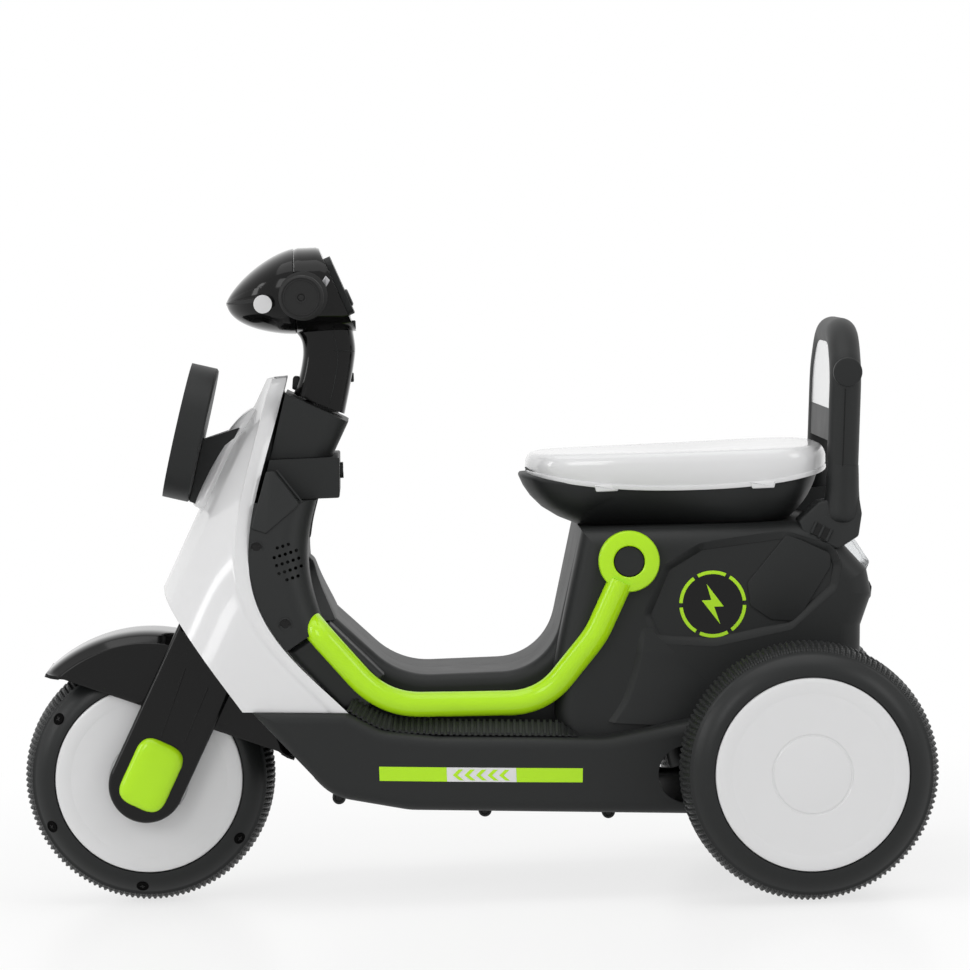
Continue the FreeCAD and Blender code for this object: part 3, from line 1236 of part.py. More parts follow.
node("backrest_pad", sorted(upper.Solids, key=lambda s: s.Volume)[-1])
node("backrest_panel", sorted(lower.Solids, key=lambda s: s.Volume)[-1])

sockets = []
for name, side in SIDES:
    wide = d.hoop_radius + d.socket_wall
    holder = box(hoop_x - wide, hoop_x + wide + 3, side * d.hoop_half - wide, side * d.hoop_half + wide,
                 up(d.socket_low), up(d.hoop_foot + d.socket_lap))
    holder = holder.makeFillet(5, [e for e in holder.Edges if abs(e.tangentAt(e.FirstParameter).z) > 0.99])
    sockets.append(holder)
sockets = [s.cut(seated_skin).cut(mirrored(seated_skin)).cut(hoop) for s in sockets]
sockets = [s.cut(bowl(0)).cut(slab) for s in sockets]
node("backrest_sockets", Part.Compound([sorted(s.Solids, key=lambda q: q.Volume)[-1] for s in sockets]))

# Side covers in their recesses, and the tail lamp
cover_y = d.rear_half - d.recess_depth + d.seat_gap
cover = prism(cover_outline, cover_y, cover_y + d.cover_thickness)
cover = round_side(cover, cover_y + d.cover_thickness, 1.2)
for name, side in SIDES:
    node(f"side_cover_{name}", cover if side > 0 else mirrored(cover))

tail_z0, tail_z1 = axle_z + 139, axle_z + 161
tail = [(20, tail_z1 + 6, 0), (6, tail_z1, 3), (-7, tail_z0 + 1, 3), (-3, tail_z0 - 8, 3),
        (20, tail_z0 - 8, 0)]
tail_corners = [(rear(dx - d.tail_rear), z, bend) for dx, z, bend in tail]
tail_lamp = prism(tail_corners, -d.lamp_tail_half, d.lamp_tail_half)
grown = skin.fuse(mirrored(skin))
tail_lamp = tail_lamp.cut(grown)
node("tail_lamp", sorted(tail_lamp.Solids, key=lambda s: s.Volume)[-1])


# Drive: battery, motor, gears, case, rear axle
def gear(teeth, module, face, bore, backlash=0.12):
    """Involute spur gear about Y, its near face at y = 0."""
    pitch = teeth * module / 2
    base = pitch * math.cos(math.radians(20))
    tip = pitch + module
    root = pitch - 1.2 * module
    half_pitch = math.pi / (2 * teeth) - backlash / (2 * pitch)
    inv = math.tan(math.radians(20)) - math.radians(20)

    def flank(radius):
        if radius <= base:
            return half_pitch + inv
        turn = math.acos(base / radius)
        return half_pitch + inv - (math.tan(turn) - turn)

    points = []
    for tooth in range(teeth):
        middle = 2 * math.pi * tooth / teeth
        radii = [root, max(root + 0.01, base), (base + tip) / 2, tip]
        left = [(r, middle - flank(r)) for r in radii]
        right = [(r, middle + flank(r)) for r in radii[::-1]]
        points += left + right
    loop = [Vec(r * math.cos(a), 0, r * math.sin(a)) for r, a in points]
    blank = Part.Face(Part.makePolygon(loop + loop[:1])).extrude(Vec(0, face, 0))
    return blank.cut(Part.makeCylinder(bore, face, Vec(0, 0, 0), AXIS_Y))


CASE_DEPTH = 2 * d.case_wall + 2 * d.gear_face + 4
CASE_OUTER = d.rear_half - 15
CASE_INNER = CASE_OUTER - CASE_DEPTH
gear_y = CASE_INNER + d.case_wall + 1.5
FINE, COARSE = 1.0, 1.25
PINION_TEETH, WHEEL_TEETH, SMALL_TEETH, OUTPUT_TEETH = 12, 42, 12, 40
idler_reach = COARSE * (SMALL_TEETH + OUTPUT_TEETH) / 2 + 0.1
motor_reach = FINE * (PINION_TEETH + WHEEL_TEETH) / 2 + 0.1
idler_angle, motor_angle = math.radians(14), math.radians(-24)
idler_x = rear_x + idler_reach * math.cos(idler_angle)
idler_z = axle_z + idler_reach * math.sin(idler_angle)
motor_x = idler_x + motor_reach * math.cos(motor_angle)
motor_z = idler_z + motor_reach * math.sin(motor_angle)


def turned_gear(shape, turn, x, y, z):
    made = shape.copy()
    made.rotate(Vec(0, 0, 0), AXIS_Y, -math.degrees(turn))
    made.translate(Vec(x, y, z))
    return made


output = gear(OUTPUT_TEETH, COARSE, d.gear_face, d.axle_radius + d.running_gap)
sleeve_end = d.rear_wheel_inner + 8 - d.seat_gap
drive_sleeve = tube(Vec(0, 0, 0), AXIS_Y, sleeve_radius, d.axle_radius + d.running_gap, sleeve_end - gear_y)
drive = output.fuse(drive_sleeve)
node("drive_gear", turned_gear(drive, 0, rear_x, gear_y, axle_z))
small_turn = idler_angle + math.pi + math.pi / SMALL_TEETH - OUTPUT_TEETH / SMALL_TEETH * (0 - idler_angle)
small = gear(SMALL_TEETH, COARSE, d.gear_face + 1, 2.06)
large = gear(WHEEL_TEETH, FINE, d.gear_face, 2.06)
idler = turned_gear(small, small_turn, idler_x, gear_y - 0.5, idler_z)
large_y = gear_y + d.gear_face + 1
idler = idler.fuse(turned_gear(large, small_turn, idler_x, large_y, idler_z))
link_bush = tube(Vec(idler_x, gear_y + d.gear_face - 0.5, idler_z), AXIS_Y, 4.5, 2.06, 2.5)
node("idler_gear", idler.fuse(link_bush))
pinion_share = WHEEL_TEETH / PINION_TEETH
pinion_turn = motor_angle + math.pi + math.pi / PINION_TEETH - pinion_share * (small_turn - motor_angle)
pinion = gear(PINION_TEETH, FINE, d.gear_face + 1, 1.2)
pinion = turned_gear(pinion, pinion_turn, motor_x, large_y - 0.5, motor_z)
shaft = cross_rod(motor_x, motor_z, 1.25, CASE_INNER - 4, large_y + d.gear_face + 0.6)
node("motor_pinion", pinion.fuse(shaft))
case = [(rear(-30), up(-29.3), 8), (rear(84), up(-29.3), 8), (rear(84), up(20), 12), (rear(58), up(34), 12),
        (rear(-30), up(30), 12)]
case_shape = prism(case, CASE_INNER, CASE_OUTER)
case_room = inset_prism(case, d.case_wall, CASE_INNER + d.case_wall, CASE_OUTER - d.case_wall)
idler_pin = cross_rod(idler_x, idler_z, 2, CASE_INNER + 0.5, CASE_OUTER - 0.5)
case_shape = case_shape.cut(case_room).fuse(idler_pin)
case_shape = case_shape.cut(cross_rod(rear_x, axle_z, d.axle_radius + 0.3, CASE_INNER - 1, CASE_INNER + 5))
case_shape = case_shape.cut(cross_rod(rear_x, axle_z, sleeve_radius + 0.4, gear_y + 5, CASE_OUTER + 5))
case_shape = case_shape.cut(cross_rod(motor_x, motor_z, 1.7, CASE_INNER - 1, CASE_INNER + 5))
node("gearbox_case", case_shape)
motor_end = CASE_INNER - d.seat_gap
motor_can = cross_rod(motor_x, motor_z, d.motor_radius, motor_end - d.motor_length, motor_end)
rounds = [e for e in motor_can.Edges if isinstance(e.Curve, Part.Circle)]
can_rim = [e for e in rounds if e.CenterOfMass.y < CASE_INNER - 5]
motor_can = motor_can.makeFillet(2, can_rim)
node("motor", motor_can.cut(cross_rod(motor_x, motor_z, 1.6, CASE_INNER - 6, CASE_INNER + 5)))
rod_end = d.rear_wheel_outer - 5.5
rear_rod = keep(doc.addObject("Part::Cylinder", "rear_axle"), "rear_axle")
bind(rear_rod, Radius="sizes.axle_radius", Height="2 * (sizes.rear_wheel_outer - 5.5)")
rear_rod.Placement = FreeCAD.Placement(Vec(rear_x, -rod_end, axle_z), FreeCAD.Rotation(AXIS_X, -90))
bind(rear_rod, Placement__Base__x="-sizes.wheelbase / 2", Placement__Base__y="5.5 - sizes.rear_wheel_outer",
     Placement__Base__z="sizes.tyre_radius")
nut_place = Vec(rear_x, d.rear_wheel_outer - 8 + d.seat_gap, axle_z)
push_nut = tube(nut_place, AXIS_Y, d.nut_radius - 1, d.axle_radius, 2)
node("rear_axle_nuts", Part.Compound([push_nut, mirrored(push_nut)]))
battery_x = rear(171)
tray_top = up(-d.tray_height) + 3
block = keep(doc.addObject("Part::Box", "battery"), "battery")
bind(block, Length="sizes.battery_length", Width="sizes.battery_width", Height="sizes.battery_height")
battery_corner = Vec(battery_x - d.battery_length / 2, -d.battery_width / 2, tray_top + d.seat_gap)
block.Placement = FreeCAD.Placement(battery_corner, FreeCAD.Rotation())

doc.recompute()
os.makedirs("parts", exist_ok=True)
for made in doc.Objects:
    if "Invalid" in made.State or "Error" in made.State:
        raise RuntimeError(f"{made.Label}: {made.State}")
for made in NODES:
    if made.Shape.isNull() or not made.Shape.isValid() or made.Shape.Volume <= 0:
        raise RuntimeError(f"{made.Label}: no valid solid")
    made.Shape.exportStep(f"parts/{made.Label}.step")
print(len(NODES), "nodes written")
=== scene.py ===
"""Looks of the child's electric three-wheel scooter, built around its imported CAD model.

Frame: +X forward, +Y to the rider's left, +Z up, origin on the floor in the middle of the wheelbase.
Lengths are written in millimetres and scaled by MM.
"""
import json
import math
import bmesh
import bpy
from mathutils import Matrix, Vector


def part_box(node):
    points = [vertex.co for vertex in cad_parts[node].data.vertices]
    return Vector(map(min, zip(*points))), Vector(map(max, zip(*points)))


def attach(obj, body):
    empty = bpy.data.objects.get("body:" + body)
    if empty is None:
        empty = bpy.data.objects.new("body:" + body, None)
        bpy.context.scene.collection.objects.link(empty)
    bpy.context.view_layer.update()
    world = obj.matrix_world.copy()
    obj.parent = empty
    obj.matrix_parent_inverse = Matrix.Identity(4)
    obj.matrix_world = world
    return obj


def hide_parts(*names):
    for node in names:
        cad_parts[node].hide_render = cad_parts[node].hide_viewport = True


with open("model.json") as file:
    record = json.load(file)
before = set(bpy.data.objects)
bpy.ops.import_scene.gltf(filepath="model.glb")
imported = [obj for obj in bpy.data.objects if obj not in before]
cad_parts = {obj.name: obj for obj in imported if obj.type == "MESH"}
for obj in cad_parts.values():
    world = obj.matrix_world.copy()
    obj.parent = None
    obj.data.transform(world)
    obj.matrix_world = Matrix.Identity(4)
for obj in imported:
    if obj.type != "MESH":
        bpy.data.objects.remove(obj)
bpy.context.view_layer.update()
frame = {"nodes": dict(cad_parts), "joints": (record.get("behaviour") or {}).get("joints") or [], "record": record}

MM = 0.001
SIDES = (("left", 1), ("right", -1))
BOTH = (1, -1)
FRONT_X, AXLE_Z = 240.0, 93.0
scene = bpy.context.scene
nodes = frame["nodes"]
joints = {joint["name"]: joint for joint in frame["joints"]}
slot_of = {entry["node"]: entry["material_slot"] for entry in frame["record"]["subparts"]}


# Materials
def add_node(tree, kind, place, **sockets):
    """New shader node with its sockets set by name, where an underscore stands for a space."""
    made = tree.nodes.new(kind)
    made.location = place
    for name, value in sockets.items():
        made.inputs[name.replace("_", " ")].default_value = value
    return made


def look(name, colour, roughness, mottle=0.04, grain=900.0, bump=0.03, spread=0.05, edge=0.5, **extra):
    """Moulded material: base colour with a faint mottle, uneven gloss, fine grain and softened edges."""
    made = bpy.data.materials.new(name)
    made.use_nodes = True
    tree = made.node_tree
    link = tree.links.new
    shader = tree.nodes["Principled BSDF"]
    shader.inputs["Roughness"].default_value = roughness
    for socket, value in extra.items():
        shader.inputs[socket.replace("_", " ")].default_value = value
    spot = add_node(tree, "ShaderNodeTexCoord", (-1100, 0))
    cloud = add_node(tree, "ShaderNodeTexNoise", (-900, 200), Scale=38.0, Detail=4.0)
    fine = add_node(tree, "ShaderNodeTexNoise", (-900, -150), Scale=grain, Detail=3.0)
    link(spot.outputs["Object"], cloud.inputs["Vector"])
    link(spot.outputs["Object"], fine.inputs["Vector"])
    mix = add_node(tree, "ShaderNodeMix", (-600, 250))
    mix.data_type = "RGBA"
    mix.inputs[6].default_value = [channel * (1 - mottle) for channel in colour] + [1]
    mix.inputs[7].default_value = [min(1, channel * (1 + mottle)) for channel in colour] + [1]
    link(cloud.outputs["Fac"], mix.inputs["Factor"])
    link(mix.outputs[2], shader.inputs["Base Color"])
    gloss = add_node(tree, "ShaderNodeMapRange", (-600, 0), From_Min=0.3, From_Max=0.7,
                     To_Min=roughness * (1 - spread), To_Max=roughness * (1 + spread))
    link(cloud.outputs["Fac"], gloss.inputs["Value"])
    link(gloss.outputs["Result"], shader.inputs["Roughness"])
    round_edge = add_node(tree, "ShaderNodeBevel", (-600, -350), Radius=edge * MM)
    round_edge.samples = 4
    relief = add_node(tree, "ShaderNodeBump", (-350, -200), Strength=bump, Distance=0.0004)
    link(fine.outputs["Fac"], relief.inputs["Height"])
    link(round_edge.outputs["Normal"], relief.inputs["Normal"])
    link(relief.outputs["Normal"], shader.inputs["Normal"])
    return made


LOOKS = {
    "tyre_plastic": look("tyre plastic", (0.011, 0.012, 0.012), 0.38, bump=0.10, Specular_IOR_Level=0.28),
    "white_gloss": look("gloss white", (0.76, 0.76, 0.765), 0.16, mottle=0.006, bump=0.01, Coat_Weight=0.3,
                        Coat_Roughness=0.05),
    # Steel darker than bare zinc, so the motor in the shaded gap behind the rear wheel reads dark: partly steel's
    # own colour, partly painted shade
    "steel": look("zinc steel with painted shade", (0.40, 0.40, 0.41), 0.42, Metallic=1.0),
    "black_gloss": look("gloss black", (0.004, 0.004, 0.004), 0.10, bump=0.004, Specular_IOR_Level=0.22),
    "lime_gloss": look("gloss lime", (0.47, 0.84, 0.010), 0.16, mottle=0.012, bump=0.008,
                       Specular_IOR_Level=0.35),
    "black_satin": look("satin black", (0.015, 0.016, 0.016), 0.48, bump=0.10, Specular_IOR_Level=0.25),
    "black_rubber": look("grip rubber", (0.013, 0.013, 0.013), 0.55, bump=0.2, Specular_IOR_Level=0.25),
    "acetal": look("gear plastic", (0.03, 0.03, 0.031), 0.45),
    "clear_lens": look("clear lens", (0.93, 0.95, 0.96), 0.08, mottle=0.0, bump=0.0,
                       Transmission_Weight=0.85),
    "bright_dish": look("bright dish", (0.88, 0.89, 0.90), 0.10, mottle=0.0, bump=0.0, Metallic=1.0),
    "battery_case": look("battery case", (0.10, 0.11, 0.13), 0.5),
}


def smooth(mesh, angle=32.0):
    """Smooth shading, with sharp edges above an angle in degrees."""
    mesh.shade_smooth()
    mesh.set_sharp_from_angle(angle=math.radians(angle))


# The CAD nodes that stay visible get their slot's material and smooth shading
for name, obj in nodes.items():
    obj.data.materials.clear()
    obj.data.materials.append(LOOKS[slot_of[name]])
    smooth(obj.data)


# Mesh helpers
def mm(*values):
    """Vector in metres from millimetres."""
    return Vector(values) * MM


def put(name, bm, slot, body="chassis", replaces=(), angle=32.0, material=None):
    """Finish a mesh as a piece that rides on a CAD body and takes a slot's finish."""
    bmesh.ops.recalc_face_normals(bm, faces=bm.faces)
    mesh = bpy.data.meshes.new(name)
    bm.to_mesh(mesh)
    bm.free()
    mesh.materials.append(material or LOOKS[slot])
    smooth(mesh, angle)
    obj = bpy.data.objects.new(name, mesh)
    scene.collection.objects.link(obj)
    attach(obj, body)
    if replaces:
        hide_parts(*replaces)
    return obj


def skin(bm, rings, closed=True, ends=True, looped=False):
    """Join rings of points with quads; looped also joins the last ring to the first."""
    made = [[bm.verts.new(point) for point in ring] for ring in rings]
    count = len(made[0])
    pairs = list(zip(made, made[1:]))
    if looped:
        pairs.append((made[-1], made[0]))
    for low, high in pairs:
        for i in range(count if closed else count - 1):
            j = (i + 1) % count
            bm.faces.new((low[i], low[j], high[j], high[i]))
    if ends and not looped:
        bm.faces.new(made[0][::-1])
        bm.faces.new(made[-1])


def sideways(x, y, z, side=1):
    """Frame whose local Z points to the left or right of the scooter and whose local X points forward."""
    return Matrix.Translation(mm(x, y, z)) @ Matrix.Rotation(-side * math.pi / 2, 4, "X")


def shares(steps):
    """Shares from 0 to 1 in even steps, with both ends."""
    return [step / steps for step in range(steps + 1)]


def full_turn(count):
    """Angles of a number of steps round a circle."""
    return [2 * math.pi * step / count for step in range(count)]


def arc(centre, radius, span):
    """Points of a circle at the angles of a span."""
    return [(centre[0] + radius * math.cos(a), centre[1] + radius * math.sin(a)) for a in span]


def turned(bm, profile, place, count=64, looped=False):
    """Turned piece: profile of radius and height along the local Z axis of a frame."""
    rings = []
    for radius, along in profile:
        rings.append([place @ mm(a, b, along) for a, b in arc((0, 0), radius, full_turn(count))])
    skin(bm, rings, looped=looped)


def wall(obj, thickness):
    """Give a skin a wall towards its inside."""
    made = obj.modifiers.new("wall", "SOLIDIFY")
    made.thickness = thickness * MM
    made.offset = -1.0
    made.use_even_offset = False


# Outline and section helpers
def signed(value, power):
    """Power of a value that keeps its sign."""
    return math.copysign(abs(value) ** power, value)


def fall(share, power):
    """Height of a superellipse of size 1 at a share of its half width."""
    return max(0.0, 1 - share ** power) ** (1 / power)


def round_corner(before, here, after, radius, limit, steps):
    """Points of a round corner, which takes up a limited share of the straight runs beside it."""
    back, ahead = before - here, after - here
    reach = min(radius / math.tan(back.angle(ahead) / 2), limit * back.length, limit * ahead.length)
    start = here + back.normalized() * reach
    end = here + ahead.normalized() * reach
    return [start * (1 - t) ** 2 + here * 2 * t * (1 - t) + end * t ** 2 for t in shares(steps)]


def rounded(corners, steps=5):
    """Closed outline with round corners; corners are two coordinates and a radius."""
    points = []
    count = len(corners)
    for i, (a, b, radius) in enumerate(corners):
        if radius <= 0:
            points.append((a, b))
            continue
        before, after = Vector(corners[i - 1][:2]), Vector(corners[(i + 1) % count][:2])
        points += [tuple(spot) for spot in round_corner(before, Vector((a, b)), after, radius, 0.48, steps)]
    return points


def through(points, steps=6, closed=False):
    """Smooth curve through points of any dimension."""
    count = len(points)
    out = []
    for i in range(count if closed else count - 1):
        ends = []
        for k in (-1, 0, 1, 2):
            j = (i + k) % count if closed else min(count - 1, max(0, i + k))
            ends.append(Vector(points[j]))
        a, b, c, e = ends
        for step in range(steps):
            t = step / steps
            out.append(0.5 * (2 * b + (c - a) * t + (2 * a - 5 * b + 4 * c - e) * t ** 2
                              + (3 * b - a - 3 * c + e) * t ** 3))
    if not closed:
        out.append(Vector(points[-1]))
    return out


def offset(points, amount):
    """Closed outline moved inwards, for soft edges."""
    spots = [Vector(point) for point in points]
    following = spots[1:] + spots[:1]
    turn = 1 if sum(a.x * b.y - b.x * a.y for a, b in zip(spots, following)) > 0 else -1
    moved = []
    for before, here, after in zip(spots[-1:] + spots[:-1], spots, following):
        along = (here - before).normalized() + (after - here).normalized()
        if along.length < 1e-6:
            along = after - here
        along.normalize()
        moved.append((here.x - along.y * turn * amount, here.y + along.x * turn * amount))
    return moved


def slab(bm, outline, place, low, high, soft=1.0, steps=3):
    """Plate with a softened upper edge: outline in the local XY plane, between two heights on local Z."""
    rings = [[place @ mm(a, b, low) for a, b in outline]]
    for share in shares(steps):
        angle = math.pi / 2 * share
        ring = offset(outline, soft * (1 - math.cos(angle)))
        height = high - soft + soft * math.sin(angle)
        rings.append([place @ mm(a, b, height) for a, b in ring])
    skin(bm, rings)


def side_view(y, side=1):
    """Frame that maps a side view outline of x and z to the left or right side at a distance y."""
    return Matrix(((1, 0, 0, 0), (0, 0, side, side * y * MM), (0, 1, 0, 0), (0, 0, 0, 1)))


def side_rings(outline, side, face, steps):
    """Rings of a side view outline on a face of changing width; steps are an inset and a rise."""
    rings = []
    for inset, rise in steps:
        rings.append([mm(x, side * (face(z) + rise), z) for x, z in offset(outline, inset)])
    return rings


def decal(bm, outline, place, low=-0.1, high=0.4, soft=0.05):
    """Thin print or mark on a face."""
    slab(bm, outline, place, low, high, soft=soft, steps=1)


def bent(corners, steps=10):
    """Open path with round bends; corners are three coordinates and a bend radius."""
    spots = [Vector(corner[:3]) for corner in corners]
    path = [spots[0]]
    for before, here, after, corner in zip(spots, spots[1:], spots[2:], corners[1:]):
        path += round_corner(before, here, after, corner[3], 0.49, steps)
    return path + [spots[-1]]


def pipe(bm, points, radius, count=10):
    """Round bar along a path of points in millimetres, with one radius or one for each point."""
    path = [Vector(point) for point in points]
    radii = radius if isinstance(radius, list) else [radius] * len(path)
    rings = []
    aside = None
    for i, spot in enumerate(path):
        ahead = path[min(i + 1, len(path) - 1)] - path[max(i - 1, 0)]
        ahead.normalize()
        if aside is None:
            aside = ahead.orthogonal().normalized()
        aside = (aside - ahead * aside.dot(ahead)).normalized()
        other = ahead.cross(aside)
        circle = arc((0, 0), radii[i], full_turn(count))
        rings.append([(spot + a * aside + b * other) * MM for a, b in circle])
    skin(bm, rings)


def bowed(z, half, steps, front, inside, share=1.0):
    """Section across the scooter at a height: front gives x for each y, and two points inside close it."""
    spread = [half * (2 * t - 1) for t in shares(2 * steps)]
    ring = [mm(front(y), y, z) for y in spread]
    return ring + [mm(inside, side * half * share, z) for side in BOTH]


# Wheels: knurled tread, bulging sidewalls, well for the disc, web and hub
TYRE_RADIUS = 93.0
TREAD_FLAT = 9.0
TREAD_EDGE = 25.0
RIM_RADIUS = 70.0
TEETH = 136
ROWS = 7
KNOB = 1.5
WHEEL_SCREWS = 6
WHEELS = (("front_tyre", "front_discs", "front_wheel"),
          ("rear_tyre_left", "rear_disc_left", "rear_wheel_left"),
          ("rear_tyre_right", "rear_disc_right", "rear_wheel_right"))


def tyre_radius(y, half):
    """Outer radius of the round tyre section at a distance from its middle."""
    if y <= TREAD_FLAT:
        return TYRE_RADIUS
    share = min(1.0, (y - TREAD_FLAT) / (half - TREAD_FLAT))
    return RIM_RADIUS + (TYRE_RADIUS - RIM_RADIUS) * (1 - share ** 1.7) ** (1 / 1.7)


def tyre(node, half, body, centre):
    """Moulded tyre and wheel in one, from a closed section turned about the axle."""
    edge = TREAD_EDGE * half / 36.0
    sampled = [edge * share for share in shares(200)]
    run = [0.0]
    for a, b in zip(sampled, sampled[1:]):
        run.append(run[-1] + math.hypot(b - a, tyre_radius(b, half) - tyre_radius(a, half)))

    def along(length):
        """Distance from the middle at a length along the section."""
        for reached, y in zip(run[1:], sampled):
            if reached >= length:
                return y
        return edge

    pitch = run[-1] / ROWS
    steps = []
    for row in range(ROWS):
        for share, high in ((0.12, True), (0.68, True), (0.80, False), (1.0, False)):
            y = along(pitch * (row + share))
            steps.append((tyre_radius(y, half) - (0 if high else KNOB), y, high))
    at_edge = tyre_radius(edge, half)
    # Bead beside the tread, bulging wall, then the well for the disc, the web and the hub
    plain = [(at_edge + 0.3, edge + 0.5), (at_edge + 0.2, edge + 1.1)]
    wall_top, wall_start = at_edge - 1.4, edge + 1.5
    for share in shares(14):
        y = wall_start + (half - wall_start) * (1 - (1 - share) ** 2.1)
        plain.append((wall_top + (RIM_RADIUS + 0.4 - wall_top) * share, y))
    plain += [(69.9, half - 0.8), (69.9, half - 3.3), (60.5, half - 3.3), (60.5, half - 6), (66, half - 7),
              (82, half - 18), (82, 2.5), (13, 2.5), (13, half - 8), (5.1, half - 8)]
    steps += [(radius, y, False) for radius, y in plain]
    loop = [(radius, -y, toothed) for radius, y, toothed in steps[::-1]] + steps
    rings = []
    count = TEETH * 4
    for radius, y, toothed in loop:
        ring = []
        for step, angle in enumerate(full_turn(count)):
            reach = radius - KNOB if toothed and step % 4 > 1 else radius
            ring.append(mm(reach * math.cos(angle), y, reach * math.sin(angle)) + centre)
        rings.append(ring)
    bm = bmesh.new()
    skin(bm, rings, looped=True)
    put("look_" + node, bm, "tyre_plastic", body, replaces=(node,), angle=40)


for node, _, body in WHEELS:
    low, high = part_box(node)
    tyre(node, (high.y - low.y) / 2 / MM, body, (low + high) / 2)

# Screws in the front wheel's sidewalls, square to their slope; their heads are near-black and dull, as painted
# shade of the screw holes
SCREW_CIRCLE, SCREW_DEPTH, WALL_SLOPE = 80.5, 4.1, math.radians(41)
SCREW_HEAD = [(4.6, -3), (4.6, 0.3), (4.3, 0.6), (3.8, 0.6), (3.5, 0.3), (3.0, 0.2)]
SCREW_SLOT = [(-1.9, -0.4), (1.9, -0.4), (1.9, 0.4), (-1.9, 0.4)]
FIRST_SCREW = 36
low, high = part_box("front_tyre")
hub = (low + high) / 2 / MM
half = (high.y - low.y) / 2 / MM
bm = bmesh.new()
cross = bmesh.new()
for side in BOTH:
    for i in range(WHEEL_SCREWS):
        angle = math.radians(FIRST_SCREW + 360 / WHEEL_SCREWS * i)
        out = Vector((math.cos(angle), 0, math.sin(angle)))
        spot = hub + out * SCREW_CIRCLE + Vector((0, side * (half - SCREW_DEPTH), 0))
        square = out * math.sin(WALL_SLOPE) + Vector((0, side * math.cos(WALL_SLOPE), 0))
        turn = Vector((0, 0, 1)).rotation_difference(square)
        place = Matrix.Translation(spot * MM) @ turn.to_matrix().to_4x4()
        turned(bm, SCREW_HEAD, place, 20)
        for spin in (0, math.pi / 2):
            decal(cross, SCREW_SLOT, place @ Matrix.Rotation(spin, 4, "Z"), 0.0, 0.5, soft=0.1)
# Near-black colour with almost no reflection: painted shade of the dark screw holes, laid on the screw heads
well = look("screw hole painted shade", (0.002, 0.002, 0.002), 0.7, Specular_IOR_Level=0.04)
put("look_wheel_screws", bm, "black_gloss", "front_wheel", material=well)
put("look_wheel_screw_slots", cross, "black_gloss", "front_wheel")

# Discs with a turned edge, a faint step and a ring
DISC = [(5.2, -3.0), (69.4, -3.0), (69.4, -1.6), (68.9, -0.8), (67.8, -0.35), (66.0, -0.2), (59.5, -0.25),
        (58.5, -0.55), (57.6, -0.65), (30.0, -0.6), (29.4, -0.65), (28.9, -1.15), (27.9, -1.15),
        (27.4, -0.65), (26.8, -0.55), (6.0, -0.4), (0.4, -0.4)]
for _, node, body in WHEELS:
    low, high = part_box(node)
    middle = (low + high) / 2 / MM
    faces = [(high.y / MM, 1), (low.y / MM, -1)]
    if node != "front_discs":
        faces = faces[:1] if middle.y > 0 else faces[1:]
    bm = bmesh.new()
    for y, side in faces:
        turned(bm, DISC, sideways(middle.x, y, middle.z, side), 128)
    put("look_" + node, bm, "white_gloss", body, replaces=(node,))

# Nacelle: cowl with a beak, and the rear cowl with its neck
bar = Vector(joints["throttle_twist"]["pos_m"]) / MM
NOSE, COWL_TOP, COWL_BOTTOM, COWL_HALF, COWL_SEAM = 58.0, 35.0, 29.0, 54.0, 6.0
NOSE_DROP = 7.0
TOP_POWER, BOTTOM_POWER, SIDE_POWER, CROSS_POWER = 1.4, 1.8, 1.9, 2.6
DASH_TILT = math.tan(math.radians(22))
AROUND = 72


def cowl_point(x, angle, grow=0.0):
    """Point of the cowl's skin at a distance ahead of the bar and an angle round its section."""
    share = min(0.996, max(0.0, (x - COWL_SEAM + 1) / (NOSE - COWL_SEAM + 1)))
    top = (COWL_TOP - 3) * fall(share, TOP_POWER) + grow
    low = (COWL_BOTTOM + 3) * fall(share, BOTTOM_POWER) + grow
    wide = COWL_HALF * fall(share, SIDE_POWER) + grow
    if x < COWL_SEAM - 1:
        wide -= (COWL_SEAM - 1 - x) * 0.12
    c, n = math.cos(angle), math.sin(angle)
    y = wide * signed(c, 2 / CROSS_POWER)
    z = (top if n > 0 else low) * signed(n, 2 / CROSS_POWER)
    return Vector((bar.x + x, y, bar.z + 3 - NOSE_DROP * share * share + z))


angles = full_turn(AROUND)
bm = bmesh.new()
rings = [[cowl_point(COWL_SEAM + 0.5, angle, -1.6) * MM for angle in angles],
         [cowl_point(COWL_SEAM + 0.5, angle, -0.7) * MM for angle in angles]]
for share in shares(32):
    x = COWL_SEAM + 1.1 + (NOSE - COWL_SEAM - 1.1) * (1 - (1 - share) ** 1.8)
    rings.append([cowl_point(x, angle) * MM for angle in angles])
skin(bm, rings)
put("look_nacelle", bm, "black_gloss", "steering", replaces=("nacelle",), angle=50)

# Lip over the beak with a dark slit below it: angles round the cowl and rises over its skin
LIP_START = 30.0
SLIT = [(-0.015, -0.6), (-0.015, 0.15), (-0.11, 0.15), (-0.11, -0.6)]


def beak_ring(x, side, points):
    """Section on one side of the beak from pairs of an angle and a rise."""
    spots = [cowl_point(x, angle, grow) for angle, grow in points]
    return [Vector((spot.x, side * spot.y, spot.z)) * MM for spot in spots]


bm = bmesh.new()
slit = bmesh.new()
for side in BOTH:
    lip_rings, slit_rings = [], []
    for share in shares(24):
        x = LIP_START + (NOSE - LIP_START - 0.2) * (1 - (1 - share) ** 2)
        rise = 0.9 * min(1.0, 3 * share)
        lip = [(0.02, -0.6), (0.02, rise), (0.10, rise), (0.20, rise * 0.4), (0.22, -0.6)]
        lip_rings.append(beak_ring(x, side, lip))
        slit_rings.append(beak_ring(x, side, SLIT))
    skin(bm, lip_rings)
    skin(slit, slit_rings)
put("look_beak_lip", bm, "black_gloss", "steering", angle=40)
put("look_beak_slit", slit, "black_rubber", "steering")

